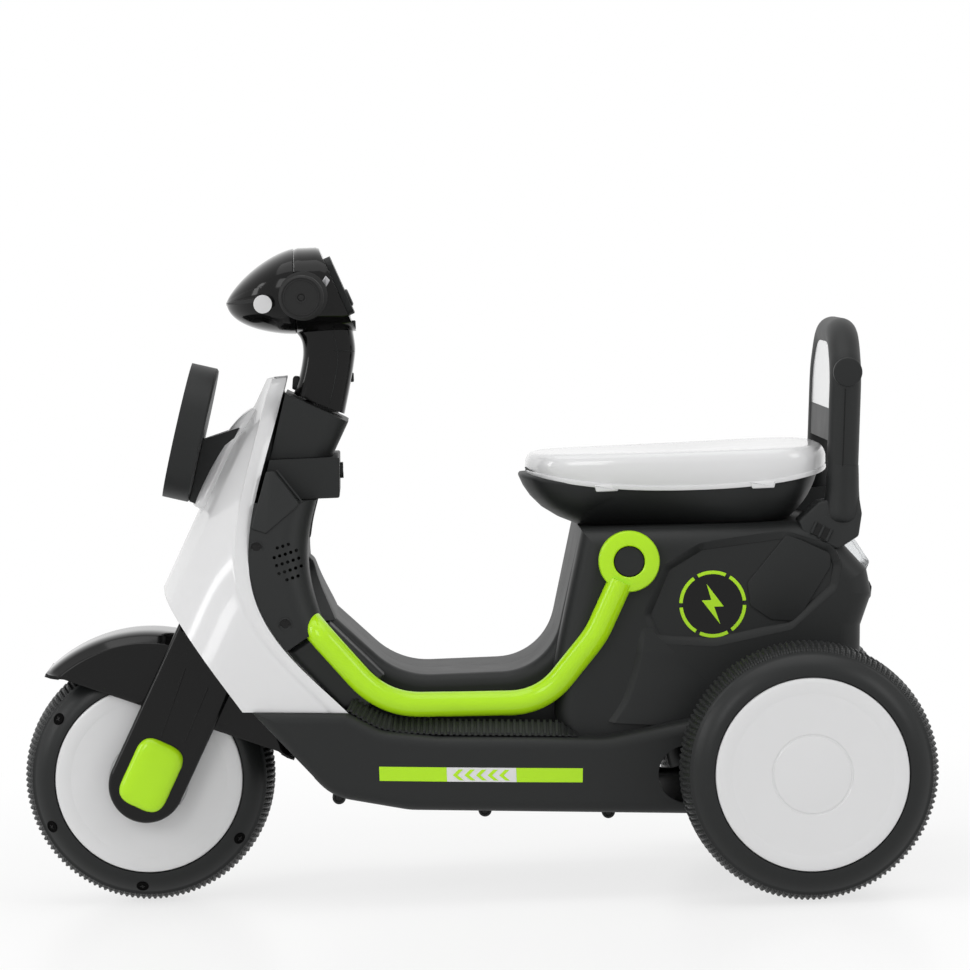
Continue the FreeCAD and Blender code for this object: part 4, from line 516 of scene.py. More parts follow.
# Rear cowl up to the slanted dash, and the neck below it: front and back of a section, half width
NECK = [(121.5, 374, 84, 357.5, 25.0), (117.5, 384, 78.6, 380, 25.2), (114.6, 395, 75.4, 396, 25.4),
        (113.2, 405, 74.2, 406, 25.6), (114.3, 414, 75.2, 417, 26.2), (119.5, 421, 76.6, 429, 29.0),
        (126, 427, 77.5, 437, 34.0), (134, 436, 84, 447, 38.0)]
NECK_POWER, NECK_PINCH, NECK_AROUND = 0.42, 0.10, 48
REAR_START = COWL_SEAM - 0.3
bm = bmesh.new()
dash_top = (bar.x - 12, bar.z + COWL_TOP)
rings = []
for i in range(9):
    sunk = -0.7 if i in (0, 8) else 0.0
    ring = []
    for angle in angles:
        start = cowl_point(REAR_START, angle, -0.7 if i == 0 else 0.0)
        back = dash_top[0] - (dash_top[1] - start.z) * DASH_TILT - bar.x
        x = REAR_START + (back - REAR_START) * i / 8 if i else COWL_SEAM - 0.05
        ring.append(cowl_point(x, angle, sunk) * MM)
    rings.append(ring)
skin(bm, rings)
rings = []
for ax, az, bx, bz, wide in through(NECK, 4):
    ring = []
    for angle in full_turn(NECK_AROUND):
        u = signed(math.cos(angle), NECK_POWER)
        y = signed(math.sin(angle), NECK_POWER) * wide * (1 - NECK_PINCH * max(0.0, u))
        ring.append(mm((ax + bx) / 2 + u * (ax - bx) / 2, y, (az + bz) / 2 + u * (az - bz) / 2))
    rings.append(ring)
skin(bm, rings)
put("look_stem", bm, "black_gloss", "steering", replaces=("handlebar_stem",), angle=50)

# Small parts of the neck: collar lug, catches at its back, panel seams on both sides
LUG = [(114, 373, 1), (122.5, 377.5, 1), (121.5, 387, 2.5), (116, 386, 2)]
NECK_SEAMS = ([(92, 424, 27.6), (88.5, 412, 26.3), (87.5, 400, 25.7), (90, 384, 25.4), (95, 366, 25.2)],
              [(75.2, 404, 21.5), (81, 404.6, 25.5), (90, 405, 25.75)])
bm = bmesh.new()
slab(bm, rounded(LUG), side_view(-9), 0, 18, soft=1)
for x, z in ((74.6, 423), (77.6, 384)):
    catch = [(x - 1.4, z - 3.4, 1), (x + 3, z - 3.4, 0), (x + 3, z + 3.4, 0), (x - 1.4, z + 3.4, 1)]
    slab(bm, rounded(catch), side_view(-5), 0, 10, soft=0.8)
put("look_neck_catches", bm, "black_satin", "steering")
bm = bmesh.new()
for side in BOTH:
    for line in NECK_SEAMS:
        pipe(bm, through([(x, side * y, z) for x, z, y in line], 5), 0.32, 6)
put("look_neck_seams", bm, "black_satin", "steering")

# Small lozenge caps on the rear cowl
LOZENGE = [(93.7, 461.2, 0.8), (90.6, 457.4, 0.8), (93.7, 452.6, 0.8), (96.8, 456.4, 0.8)]
bm = bmesh.new()
for side in BOTH:
    slab(bm, rounded(LOZENGE), side_view(49.5, side), 0, 3.6, soft=0.6)
put("look_cowl_caps", bm, "steel", "steering")

# Concentric rings and a shallow dimple on the grip ends
for node, name, side, body in (("grip_left", "look_grip_rings", 1, "steering"),
                               ("grip_right", "look_throttle_rings", -1, "throttle")):
    low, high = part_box(node)
    place = sideways(bar.x, (high.y if side > 0 else low.y) / MM, bar.z, side)
    bm = bmesh.new()
    for radius in (14.2, 12.6):
        turned(bm, [(radius - 0.5, -0.6), (radius - 0.5, 0.25), (radius, 0.45), (radius + 0.5, 0.25),
                    (radius + 0.5, -0.6)], place, 64, looped=True)
    turned(bm, [(4.4, -0.4), (4.0, 0.15), (3.2, 0.1), (2.4, -0.5), (0.4, -0.7)], place, 32)
    put(name, bm, "black_rubber", body)

# Apron: creased front panel, cheeks and a rear flange
APRON_NOSE, APRON_POWER, APRON_WALL = 75.0, 2.2, 3.0
APRON_TOP, APRON_LOW, APRON_RISE = 385.6, 145.0, 242.0
HALF_LOW, HALF_TAPER = 106.0, 66.0
NOSE_FOOT, NOSE_SLOPE = 296.1, 0.5095
NOSE_SETBACK, SETBACK_FROM, SETBACK_OVER = 6.0, 335.0, 33.0
CREASE_BACK, CREASE_POWER = 11.0, 1.5
FLANGE, FLANGE_RISE = 11.5, 0.6
REAR_EDGE = [(126.0, 386.6), (151, 291), (193, 229.4), (132.8, 188.8), (89.8, 143.3)]
LOWER_EDGE = [(225.1, 232.4), (210.9, 211.7), (166.5, 147.0)]


def front_half(z):
    """Half width of the apron behind its nose, and of the leg shield."""
    p = (z - APRON_LOW) / APRON_RISE
    return HALF_LOW - HALF_TAPER * p * abs(p)


def nose_line(z):
    """Straight line of the nose in the side view."""
    return NOSE_FOOT - NOSE_SLOPE * (z - AXLE_Z)


def nose_x(z):
    """Nose of the apron in the side view, set back above the headlamp."""
    share = min(1.0, max(0.0, (z - SETBACK_FROM) / SETBACK_OVER))
    return nose_line(z) - NOSE_SETBACK * share * share * (3 - 2 * share)


def bezier(poles, t):
    """Point of a Bezier curve."""
    spots = [Vector(pole) for pole in poles]
    while len(spots) > 1:
        spots = [a.lerp(b, t) for a, b in zip(spots, spots[1:])]
    return spots[0]


def along_line(points, share):
    """Point of a polyline at a share of its length."""
    lengths = [(Vector(b) - Vector(a)).length for a, b in zip(points, points[1:])]
    left = share * sum(lengths)
    for a, b, length in zip(points, points[1:], lengths):
        if left <= length:
            return Vector(a).lerp(Vector(b), left / length)
        left -= length
    return Vector(points[-1])


crease_share = fall((APRON_NOSE - CREASE_BACK) / APRON_NOSE, APRON_POWER)


def apron_y(x, z):
    """Half width of the apron's skin at a side view point."""
    behind = nose_x(z) - x
    if behind <= 0:
        return 0.0
    if behind < CREASE_BACK:
        return front_half(z) * crease_share * (behind / CREASE_BACK) ** (1 / CREASE_POWER)
    return front_half(z) * fall(max(0.0, (APRON_NOSE - behind) / APRON_NOSE), APRON_POWER)


nose_run = [APRON_TOP + (LOWER_EDGE[0][1] - APRON_TOP) * share for share in shares(30)]
silhouette = [(nose_x(z), z) for z in nose_run] + LOWER_EDGE[1:]
ROWS_UP, COLS_BACK, COLS_FRONT = 56, 22, 12
grid = []
for t in shares(ROWS_UP):
    rear = bezier(REAR_EDGE, t)
    front = along_line(silhouette, t)
    cut = 1.0
    for step in range(1, 200):
        spot = rear.lerp(front, step / 200)
        if nose_x(spot.y) - spot.x < CREASE_BACK:
            cut = step / 200
            break
    fold = min(0.7, FLANGE / (front - rear).length)
    cut = min(0.97, max(cut, fold * 1.08 + 0.04))
    columns = [0, fold * 0.5, fold]
    columns += [fold * 1.08 + (cut - fold * 1.08) * i / (COLS_BACK - 3) for i in range(COLS_BACK - 3)]
    columns += [cut + (1 - cut) * (1 - (1 - share) ** 1.5) for share in shares(COLS_FRONT)]
    crease = rear.lerp(front, fold)
    wide = apron_y(rear.x, rear.y)
    fuller = wide / max(1.0, apron_y(crease.x, crease.y)) - 1
    line = []
    for share in columns:
        spot = rear.lerp(front, share)
        y = apron_y(spot.x, spot.y) * (1 + fuller * min(1.0, (1 - share) / (1 - fold)))
        if share <= fold:
            y = wide + FLANGE_RISE
        line.append((spot.x, y, spot.y))
    grid.append(line)
bm = bmesh.new()
verts = {}


def apron_vert(point, side):
    """Vertex of the apron, made once for each place."""
    key = (round(point[0], 3), round(side * point[1], 3), round(point[2], 3))
    if key not in verts:
        verts[key] = bm.verts.new(mm(*key))
    return verts[key]


for side in BOTH:
    for low_line, high_line in zip(grid, grid[1:]):
        for i in range(len(low_line) - 1):
            corners = []
            for point in (low_line[i], low_line[i + 1], high_line[i + 1], high_line[i]):
                vert = apron_vert(point, side)
                if vert not in corners:
                    corners.append(vert)
            if len(corners) > 2 and bm.faces.get(corners) is None:
                bm.faces.new(corners)
apron = put("look_apron", bm, "white_gloss", replaces=("apron",), angle=60)
wall(apron, APRON_WALL)
soft_edge = apron.modifiers.new("edge", "BEVEL")
soft_edge.width = 0.7 * MM
soft_edge.segments = 2
soft_edge.limit_method = "ANGLE"
soft_edge.angle_limit = math.radians(55)

# Dark back of the apron's upper half, bulging behind its flange up to the head cover
BACK_BULGE, BACK_TOP = 7.5, 377.0
bm = bmesh.new()
rings = []
for share in shares(24):
    edge = bezier(REAR_EDGE, 0.02 + 0.36 * share)
    wide = apron_y(edge.x, edge.y) - 1.5
    bulge = BACK_BULGE * max(-0.2, min(1.0, (BACK_TOP - edge.y) / 10))
    start = edge.x + 0.6
    rings.append(bowed(edge.y, wide, 12, lambda y: start - bulge * (1 - (abs(y) / wide) ** 4), edge.x + 4))
skin(bm, rings)
put("look_apron_back", bm, "black_satin", angle=50)

# Boss of the apron round the headlamp's bracket: height, rise over the nose line, half width
BOSS = [(287, -2.0, 20.5), (291, 0.0, 21.5), (293.5, 5.2, 22), (297, 7.2, 22), (308, 8.0, 21.5),
        (320.6, 8.0, 20.5), (334.4, 7.4, 19), (347.4, 5.6, 17), (355, 3.0, 15.5), (360, 0.2, 14),
        (364, -4.0, 13)]
bm = bmesh.new()
rings = []
for z, proud, half in through(BOSS, 5):
    def boss_front(y):
        """Front of the boss, which runs out into the apron's skin at its sides."""
        behind = CREASE_BACK * (abs(y) / (front_half(z) * crease_share)) ** CREASE_POWER
        edge = nose_x(z) - behind - 1.2
        return edge + (nose_line(z) + proud - edge) * fall(abs(y) / half, 3.0)

    rings.append(bowed(z, half, 12, boss_front, nose_x(z) - 9, 0.9))
skin(bm, rings)
put("look_lamp_boss", bm, "white_gloss", angle=50)

# Leg shield trim: facet with a bead, screw recesses, strip and arched panel on the rear face; the screws are dark
# gloss discs, partly painted shade of their recesses
FACET = [(143, 319.5, 2), (137, 319.5, 2), (119, 295, 3), (144.5, 275, 3), (155.5, 279, 2)]
BEAD_START, BEAD_END = Vector((135.1, 320.4)), Vector((117.1, 296.4))
RECESS = [(5.0, 0), (5.0, 2.3), (4.7, 2.6), (4.2, 2.6), (4.0, 2.2), (3.9, 0.2)]
RECESSED_SCREW = [(4.0, 0.0), (4.0, 2.05), (2.7, 2.1), (2.5, 2.5), (0.6, 2.6)]
SHIELD_X, SHIELD_BOW, SHIELD_FOOT, SHIELD_RISE = 104.5, 10.5, 206.9, 90.1
# Strip and panel: height, rise over the rear face, half width
STRIP = [(297, 0.4, 10), (294, 1.2, 10.5), (280, 1.3, 11), (268, 1.3, 11), (266, 0.4, 10)]
PANEL = [(253, -0.6, 20), (250.5, 2.6, 24), (247, 4.4, 30), (238, 6.0, 44), (225, 8.2, 58), (214, 9.6, 69),
         (209, 9.4, 72), (207.6, 6.0, 72)]


def shield_back(z):
    """Rear face of the leg shield in the side view."""
    return SHIELD_X + SHIELD_BOW * math.sin(0.93 * math.pi * (z - SHIELD_FOOT) / SHIELD_RISE)


bm = bmesh.new()
dark = bmesh.new()
for side in BOTH:
    skin(bm, side_rings(rounded(FACET), side, front_half, ((0, -15), (0, -0.6), (0.8, 0))))
    bead = [BEAD_START.lerp(BEAD_END, share) for share in shares(8)]
    pipe(bm, [(spot.x, side * (front_half(spot.y) - 0.9), spot.y) for spot in bead], 0.7, 8)
    for x, z in ((152, 265), (133, 209)):
        place = sideways(x, side * (front_half(z) - 3.0), z, side)
        turned(bm, RECESS, place, 24)
        # Gloss black screw discs, darker than the satin trim: partly the screws' own colour, partly painted shade
        # of the recesses
        turned(dark, RECESSED_SCREW, place, 24)
for rows in (STRIP, PANEL):
    rings = []
    for z, proud, half in through(rows, 5):
        face = shield_back(z) + 1
        rings.append(bowed(z, half, 16, lambda y: face - (1 + proud) * fall(abs(y) / half, 7.0),
                           face + 2, 0.96))
    skin(bm, rings)
put("look_shield_trim", bm, "black_satin")
put("look_shield_screws_painted_shade", dark, "black_gloss")

# Ribbed ramps along both ledges
LEDGE = [(91, 145.0), (76, 135.2), (66, 130.3), (52, 127.2), (36, 125.4), (18, 123.9), (-20, 121.9),
         (-60, 119.9), (-77, 119.1)]
LEDGE_TAPER = 16.0
RIB_PITCH, RIB_RISE = 4.4, 1.6
RAMP_OUTER, RAMP_INNER, RAMP_INNER_AHEAD, RAMP_AHEAD = 106.0, 94.6, 97.4, 58
ledge = through(LEDGE, 8)
bm = bmesh.new()


def ramp_section(spot, along, side, grow):
    """Wedge across the ledge at a point of its edge line."""
    up = Vector((-along.y, along.x)) * math.copysign(1, along.x)
    inner = RAMP_INNER if spot.x < RAMP_AHEAD else RAMP_INNER_AHEAD
    tall = min(1.0, 0.12 + (spot.x - ledge[-1].x) / LEDGE_TAPER)
    section = []
    for y, rise in ((inner, 0.3), (RAMP_OUTER, 0.1), (RAMP_OUTER, 0.9 + grow), (RAMP_OUTER - 2.5, 2.6 + grow),
                    (inner, 9.6 + grow)):
        place = spot + up * rise * tall
        section.append(mm(place.x, side * y, place.y))
    return section


for side in BOTH:
    rings = []
    for i, spot in enumerate(ledge):
        along = (ledge[min(i + 1, len(ledge) - 1)] - ledge[max(i - 1, 0)]).normalized()
        rings.append(ramp_section(spot, along, side, 0.0))
    skin(bm, rings)
    total = sum((b - a).length for a, b in zip(ledge, ledge[1:]))
    for i in range(int(total / RIB_PITCH)):
        here = along_line(ledge, (i + 0.45) * RIB_PITCH / total)
        there = along_line(ledge, (i + 0.9) * RIB_PITCH / total)
        along = (there - here).normalized()
        skin(bm, [ramp_section(spot, along, side, RIB_RISE) for spot in (here, there)])
put("look_foot_grips", bm, "black_satin", replaces=("foot_grips",))

# Stripe with arrow marks on both skirts
SKIRT_HALF = 112.1
stripe = {"front": [(69, 104), (20, 101.4), (20, 91.0), (69, 93.6)],
          "middle": [(20, 101.4), (-30.5, 98.9), (-30.5, 88.5), (20, 91.0)],
          "rear": [(-30.5, 98.9), (-79, 96.6), (-78.5, 86.3), (-30.5, 88.5)]}
green = bmesh.new()
pale = bmesh.new()
for side in BOTH:
    place = side_view(SKIRT_HALF, side)
    for part, corners in stripe.items():
        decal(pale if part == "middle" else green, corners, place, -0.2, 0.18)
    for i in range(5):
        x = 12.5 - 8.4 * i
        z = 95.6 - 0.42 * i
        mark = [(x + 3.2, z), (x - 1.2, z + 4.0), (x - 4.6, z + 3.8), (x - 0.2, z - 0.1), (x - 4.6, z - 4.1),
                (x - 1.2, z - 3.9)]
        decal(green, mark, place, high=0.3)
put("look_stripe", green, "lime_gloss")
put("look_stripe_middle", pale, "white_gloss")

# Emblem with a lightning sign, and the hatch, on the side covers
EMBLEM = (-179.5, 210.5)
EMBLEM_DISC, EMBLEM_INNER, EMBLEM_OUTER = 22.6, 22.0, 24.6
BOLT = [(4, 15), (-8, -2), (-1, -2), (-5, -15), (8, 3), (1, 3)]
HATCH = [(-235, 259, 3), (-205, 225, 6), (-207, 208, 5), (-222, 197, 5), (-241, 195, 4), (-266.5, 234, 4),
         (-267.5, 244, 5), (-246, 255, 6)]


def cover_face(name):
    """Distance of a side cover's face from the middle."""
    low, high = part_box("side_cover_" + name)
    return max(abs(low.y), abs(high.y)) / MM


green = bmesh.new()
black = bmesh.new()
hatch = bmesh.new()
for name, side in SIDES:
    place = side_view(cover_face(name), side)
    decal(black, arc(EMBLEM, EMBLEM_DISC, angles), place, -0.2, 0.25, soft=0.1)
    for i in range(6):
        span = [math.radians(60 * i + 4 + 52 * share) for share in shares(12)]
        decal(green, arc(EMBLEM, EMBLEM_OUTER, span) + arc(EMBLEM, EMBLEM_INNER, span[::-1]), place)
    decal(green, [(EMBLEM[0] + side * a, EMBLEM[1] + b) for a, b in BOLT], place)
    slab(hatch, rounded(HATCH), place, -0.5, 1.3, soft=0.8)
put("look_emblem_marks", green, "lime_gloss")
put("look_emblem_disc", black, "black_gloss")
put("look_hatch", hatch, "black_satin")

# Seat lid: softened edge, lip line near the lower edge, dished top, two tabs a side
SEAT_ROUND, SEAT_INSET, SEAT_DISH = 6.5, 3.5, 3.4
SEAT_DEEP, EDGE_RISE, DEEPEST = 28, 13.5, 0.47
SLIM, WIDE = 62.0, 91.0
# Edge from below: inset and height over the seat's lower edge
SEAT_EDGE = ((3.2, 1.0), (0.4, 0.0), (0.0, 0.6), (0.0, 3.0), (0.7, 3.5), (0.7, 4.2), (0.2, 4.8))
SEAT_TABS = ((-97, -116), (-210, -229))
low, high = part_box("seat")
seat_front, seat_back, seat_top = high.x / MM - SEAT_INSET, low.x / MM, high.z / MM
length = seat_front - seat_back
plan = [(0, 0), (0.012, 0.45 * SLIM), (0.07, 0.83 * SLIM), (0.22, 1.06 * SLIM),
        (0.5, 0.5 * (WIDE + 1.1 * SLIM)), (0.78, WIDE), (0.93, 0.88 * WIDE), (0.99, 0.5 * WIDE), (1.0, 0)]
plan += [(share, -y) for share, y in plan[-2:0:-1]]
outline = [tuple(p) for p in through([(seat_front - share * length, y) for share, y in plan], 7, closed=True)]


def seat_low(x):
    """Height of the seat's curved lower edge."""
    share = (x - seat_back) / length
    return seat_top - SEAT_DEEP + EDGE_RISE * abs((share - DEEPEST) / (1 - DEEPEST)) ** 2.3


def seat_high(x, inset):
    """Height of the seat's top, lower in the middle."""
    share = (x - seat_back) / length
    dish = SEAT_DISH * math.sin(math.pi * min(1.0, max(0.0, share))) ** 2 * min(1.0, inset / 45)
    return seat_top + 0.6 - dish


bm = bmesh.new()
rings = []
for inset, lift in SEAT_EDGE:
    rings.append([mm(x, y, seat_low(x) + lift) for x, y in offset(outline, inset)])
for share in shares(7)[1:]:
    angle = math.pi / 2 * share
    inset = SEAT_ROUND * (1 - math.cos(angle))
    ring = []
    for (x, y), edge in zip(offset(outline, inset), outline):
        foot = max(seat_low(edge[0]) + 5.2, seat_top - 10)
        ring.append(mm(x, y, foot + (seat_high(x, inset) - foot) * math.sin(angle)))
    rings.append(ring)
inner = offset(outline, SEAT_ROUND)
middle = ((seat_front + seat_back) / 2 - 8, 0.0)
for share in (0.88, 0.72, 0.55, 0.38, 0.2, 0.06):
    ring = []
    for x, y in inner:
        spot = (middle[0] + (x - middle[0]) * share, y * share)
        ring.append(mm(spot[0], spot[1], seat_high(spot[0], SEAT_ROUND + 50 * (1 - share))))
    rings.append(ring)
skin(bm, rings)
put("look_seat", bm, "white_gloss", replaces=("seat",), angle=50)
bm = bmesh.new()
for side in BOTH:
    for ahead, behind in SEAT_TABS:
        x = (ahead + behind) / 2
        y = min(abs(spot[1]) for spot in outline if abs(spot[0] - x) < 7)
        z = seat_low(x)
        tab = [(ahead, z + 3, 1), (behind, z + 3, 1), (behind + 1.5, z - 2.2, 1.2),
               (ahead - 1.5, z - 2.2, 1.2)]
        slab(bm, rounded(tab), side_view(y - 5, side), 0, 6.2, soft=1)
put("look_seat_tabs", bm, "white_gloss")

# Lip of the seat base, ahead of the lid at the front: growth of the outline and drop below the lid's edge
LIP = ((-6, 1.2), (4.4, 0.6), (5.4, -0.5), (5.3, -2), (2.4, -9), (-2.4, -16.5), (-10.5, -25), (-22, -32.5),
       (-38, -39.5))
LIP_BACK = -122
bm = bmesh.new()
rings = []
front_edge = [spot for spot in outline if spot[0] > LIP_BACK]
front_edge.sort(key=lambda spot: math.atan2(spot[1], spot[0] - LIP_BACK))
for grow, drop in LIP:
    ring = []
    for x, y in front_edge:
        ahead = min(1.0, max(0.0, (x + 125) / 75))
        size = 1 + (grow * ahead - 9 * (1 - ahead)) / 120
        z = seat_low(x) + drop * (0.1 + 0.9 * ahead)
        ring.append(mm(middle[0] + (x - middle[0]) * size, y * size, z))
    rings.append(ring)
skin(bm, rings, closed=False, ends=False)
put("look_seat_lip", bm, "black_satin", angle=50)

# Backrest: hoop, flared feet, side discs, parting line, slanted sockets with latches
HOOP_X, HOOP_Y, HOOP_R, HOOP_FOOT, HOOP_RISE = -277.0, 77.0, 11.6, 274.0, 129.0
LEAN = math.tan(math.radians(4))
SOCKET_FACE, SOCKET_LEAN, SOCKET_Z = 94.2, 0.30, 250


def hoop_x(z):
    """Middle of the leaning hoop in the side view."""
    return HOOP_X - (z - HOOP_FOOT) * LEAN


def socket_y(z):
    """Face of a socket, which leans inwards over the tail's round edge."""
    return SOCKET_FACE - SOCKET_LEAN * (z - SOCKET_Z)


top = HOOP_FOOT + HOOP_RISE
bends = [(HOOP_Y, 270, 0), (HOOP_Y, top - 28, 30), (HOOP_Y * 0.62, top, 62)]
bends += [(-y, z, bend) for y, z, bend in bends[::-1]]
bm = bmesh.new()
pipe(bm, bent([(hoop_x(z), y, z, bend) for y, z, bend in bends], 14), HOOP_R, 36)
put("look_hoop", bm, "black_satin", replaces=("backrest_hoop",), angle=40)
FEET = [(264.0, 5.0), (264.4, 8.2), (266, 11.6), (268.6, 13.4), (272, 13.9), (280, 13.2), (290, 12.3),
        (300, 11.8), (308, 11.3)]
DISC_Z, DISC_R = 376, 10.6
SOCKET = [(-260, 282, 3), (-244.5, 269, 3), (-247, 261, 3), (-272, 247, 4), (-288, 256, 4), (-291.5, 272, 4),
          (-290, 287, 3)]
SOCKET_INSIDE = 61.5
LATCH = [(-257, 268), (-269, 261), (-264.5, 253), (-252.5, 260)]
feet = through(FEET, 4)
foot_radii = [radius for z, radius in feet]
bm = bmesh.new()
seams = bmesh.new()
sockets = bmesh.new()
for side in BOTH:
    disc = sideways(hoop_x(DISC_Z) - 0.5, side * (HOOP_Y + HOOP_R - 4), DISC_Z, side)
    slab(bm, arc((0, 0), DISC_R, full_turn(40)), disc, 0, 4.7, soft=0.8, steps=4)
    pipe(bm, [(hoop_x(z) - 0.4, side * (HOOP_Y + 0.6), z) for z, radius in feet], foot_radii, 36)
    line = [(hoop_x(z) + 1, side * (HOOP_Y + HOOP_R - 0.05), z) for z in (304, 320, 340, 360, 364)]
    pipe(seams, line, 0.35, 6)
    outline = rounded(SOCKET)
    rings = [[mm(x, side * SOCKET_INSIDE, z) for x, z in outline]]
    rings += side_rings(outline, side, socket_y, ((0, -2.2), (0.3, -1.1), (1.1, -0.3), (2.4, 0)))
    skin(sockets, rings)
    outline = rounded([(x, z, 1.5) for x, z in LATCH])
    skin(seams, side_rings(outline, side, socket_y, ((0, -2), (0, 0.5), (0.4, 0.8))))
    for share in (0.06, 0.5, 0.94):
        a = Vector(LATCH[0]).lerp(Vector(LATCH[1]), share)
        b = Vector(LATCH[3]).lerp(Vector(LATCH[2]), share)
        pipe(sockets, [(spot.x, side * (socket_y(spot.y) + 0.9), spot.y) for spot in (a, b)], 1.1, 8)
put("look_hoop_feet", bm, "black_satin")
put("look_hoop_seams", seams, "black_gloss")
put("look_sockets", sockets, "black_satin", replaces=("backrest_sockets",))

# Catches below the tail lamp
CATCH = [(-288, 223, 1), (-296.5, 221.5, 2), (-298.2, 217, 2), (-297.2, 210, 2), (-288, 198, 1)]
bm = bmesh.new()
for side in BOTH:
    slab(bm, rounded(CATCH), side_view(52, side), 0, 22, soft=1.5)
put("look_tail_catches", bm, "black_gloss")

# Screw bosses under the skirts
EYELETS, EYELET_Y = ((99, 81), (-7, 67.5), (-97, 62.5)), 88
EYELET = [(4.9, 0), (4.9, 11), (4.4, 11.6), (3.4, 11.6), (3.1, 10.6), (0.4, 10.6)]
EYELET_SCREW = [(2.6, 10.2), (2.6, 11.0), (1.9, 11.5), (0.5, 11.6)]
bm = bmesh.new()
dark = bmesh.new()
for side in BOTH:
    for x, z in EYELETS:
        place = sideways(x, side * EYELET_Y, z, side)
        turned(bm, EYELET, place, 28)
        turned(dark, EYELET_SCREW, place, 20)
put("look_eyelets", bm, "black_satin")
put("look_eyelet_screws", dark, "black_gloss")

# Frame tubes with their rings
TUBE = [(115, 84, 209, 0), (108.5, 97, 201.3, 14), (64, 97.5, 147.5, 62), (8, 90, 145.0, 90),
        (-52, 88, 143.5, 50), (-93, 97, 192, 70), (-112.4, 98, 231, 0)]
TUBE_R = 9.2
RING_X, RING_Y, RING_Z = -119, 93.3, 245
RING = [(11.4, 0.6), (11.4, 9.2), (12.2, 10), (20.0, 10), (21.6, 9.4), (22.3, 8.0), (22.3, 1.6), (21.5, 0.6)]
bm = bmesh.new()
for side in BOTH:
    pipe(bm, bent([(x, side * y, z, bend) for x, y, z, bend in TUBE], 16), TUBE_R, 32)
    turned(bm, RING, sideways(RING_X, side * RING_Y, RING_Z, side), 72, looped=True)
put("look_frame_tubes", bm, "lime_gloss", replaces=("frame_tube_left", "frame_tube_right"),
    angle=40)

# Sloped rims round the side covers
COVER = [(-136, 185, 8), (-129, 205, 8), (-145, 240, 10), (-172, 255, 14), (-234, 261, 10), (-268, 249, 12),
         (-273, 236, 8), (-270, 219, 8), (-236, 191, 6), (-180, 181, 10)]
TAIL_HALF, TAIL_TOP, TAIL_ROUND = 93.0, 268.0, 16.0


def tail_y(z):
    """Half width of the tail's side, which rounds off towards the top."""
    inside = max(0.0, min(TAIL_ROUND, z - (TAIL_TOP - TAIL_ROUND)))
    return TAIL_HALF - TAIL_ROUND + math.sqrt(TAIL_ROUND ** 2 - inside ** 2)


bm = bmesh.new()
for name, side in SIDES:
    face = cover_face(name)
    outline = rounded(COVER)
    rings = side_rings(outline, side, tail_y, ((-2.2, -1.0), (-1.7, 0.15), (-0.9, 0.15)))
    rings += side_rings(outline, side, lambda z: face, ((4.6, 0.3), (5.0, -0.4)))
    skin(bm, rings, ends=False)
put("look_cover_rims", bm, "black_satin")

# Ridge on both sides of the tail: steep in front, running out behind
RIDGE_RISE, RIDGE_TOP, RIDGE_OVER = 3.4, 192, 36
RIDGE_SLIM, RIDGE_SPREAD = 6, 54
RIDGE = [(-130, 196), (-128, 186), (-125.5, 174), (-121.5, 160), (-115, 143), (-104, 127)]
bm = bmesh.new()
for side in BOTH:
    rings = []
    for i, spot in enumerate(through(RIDGE, 6)):
        rise = RIDGE_RISE * min(1.0, i / 10)
        out = RIDGE_SLIM + RIDGE_SPREAD * min(1.0, max(0.0, (RIDGE_TOP - spot.y) / RIDGE_OVER))
        section = [(5.5, -0.8, 1.2), (0.8, rise * 0.85, 0), (-0.8, rise, -0.2), (-out, -0.1, -0.1 * out),
                   (-out, -1, -0.1 * out)]
        rings.append([mm(spot.x + a, side * (TAIL_HALF + y), spot.y + b) for a, y, b in section])
    skin(bm, rings)
put("look_tail_ridges", bm, "black_satin", angle=25)

# Front fender: flat cheeks, a soft crease and a crowned top, cut along a chord
FENDER_R, FENDER_HALF, FENDER_CHORD, FENDER_TILT = 109.8, 42.7, 51.0, math.radians(21)
CHEEK_TOP, CROWN_FOOT, CROWN_HALF, FENDER_WALL = 98.0, 102.6, 40.6, 2.6
half_section = [(CHEEK_TOP, FENDER_HALF), (100.6, FENDER_HALF), (101.5, FENDER_HALF - 0.3),
                (102.2, FENDER_HALF - 1.0), (CROWN_FOOT, CROWN_HALF)]
for share in shares(12)[1:]:
    y = CROWN_HALF * (1 - share)
    rise = (FENDER_R - CROWN_FOOT) * (1 - (y / CROWN_HALF) ** 5) ** (1 / 1.7)
    half_section.append((CROWN_FOOT + rise, y))
section = half_section + [(radius, -y) for radius, y in half_section[-2::-1]]
start = math.asin(FENDER_CHORD / FENDER_R)
bm = bmesh.new()
rings = []
for share in shares(96):
    angle = start + (math.pi - 2 * start) * share
    turn = angle + FENDER_TILT
    lowest = FENDER_CHORD / math.sin(angle)
    step = (CHEEK_TOP - lowest) / 5 if lowest < CHEEK_TOP - 1 else 0.0
    line = [(lowest + step * k, FENDER_HALF) for k in range(5)]
    ring = []
    for radius, y in line + section + [(radius, -y) for radius, y in line[::-1]]:
        reach = max(radius, lowest)
        ring.append(mm(FRONT_X + reach * math.cos(turn), y, AXLE_Z + reach * math.sin(turn)))
    rings.append(ring)
skin(bm, rings, closed=False, ends=False)
bmesh.ops.remove_doubles(bm, verts=bm.verts, dist=0.02 * MM)
fender = put("look_fender", bm, "black_gloss", "steering", replaces=("front_fender",), angle=40)
wall(fender, FENDER_WALL)

# Cushioned caps at the fork's feet
RAKE = math.radians(27)
CAP = [(18, -20, 13), (18, 32, 13), (-18, 32, 13), (-18, -20, 13)]
CAP_MIDDLE = 6
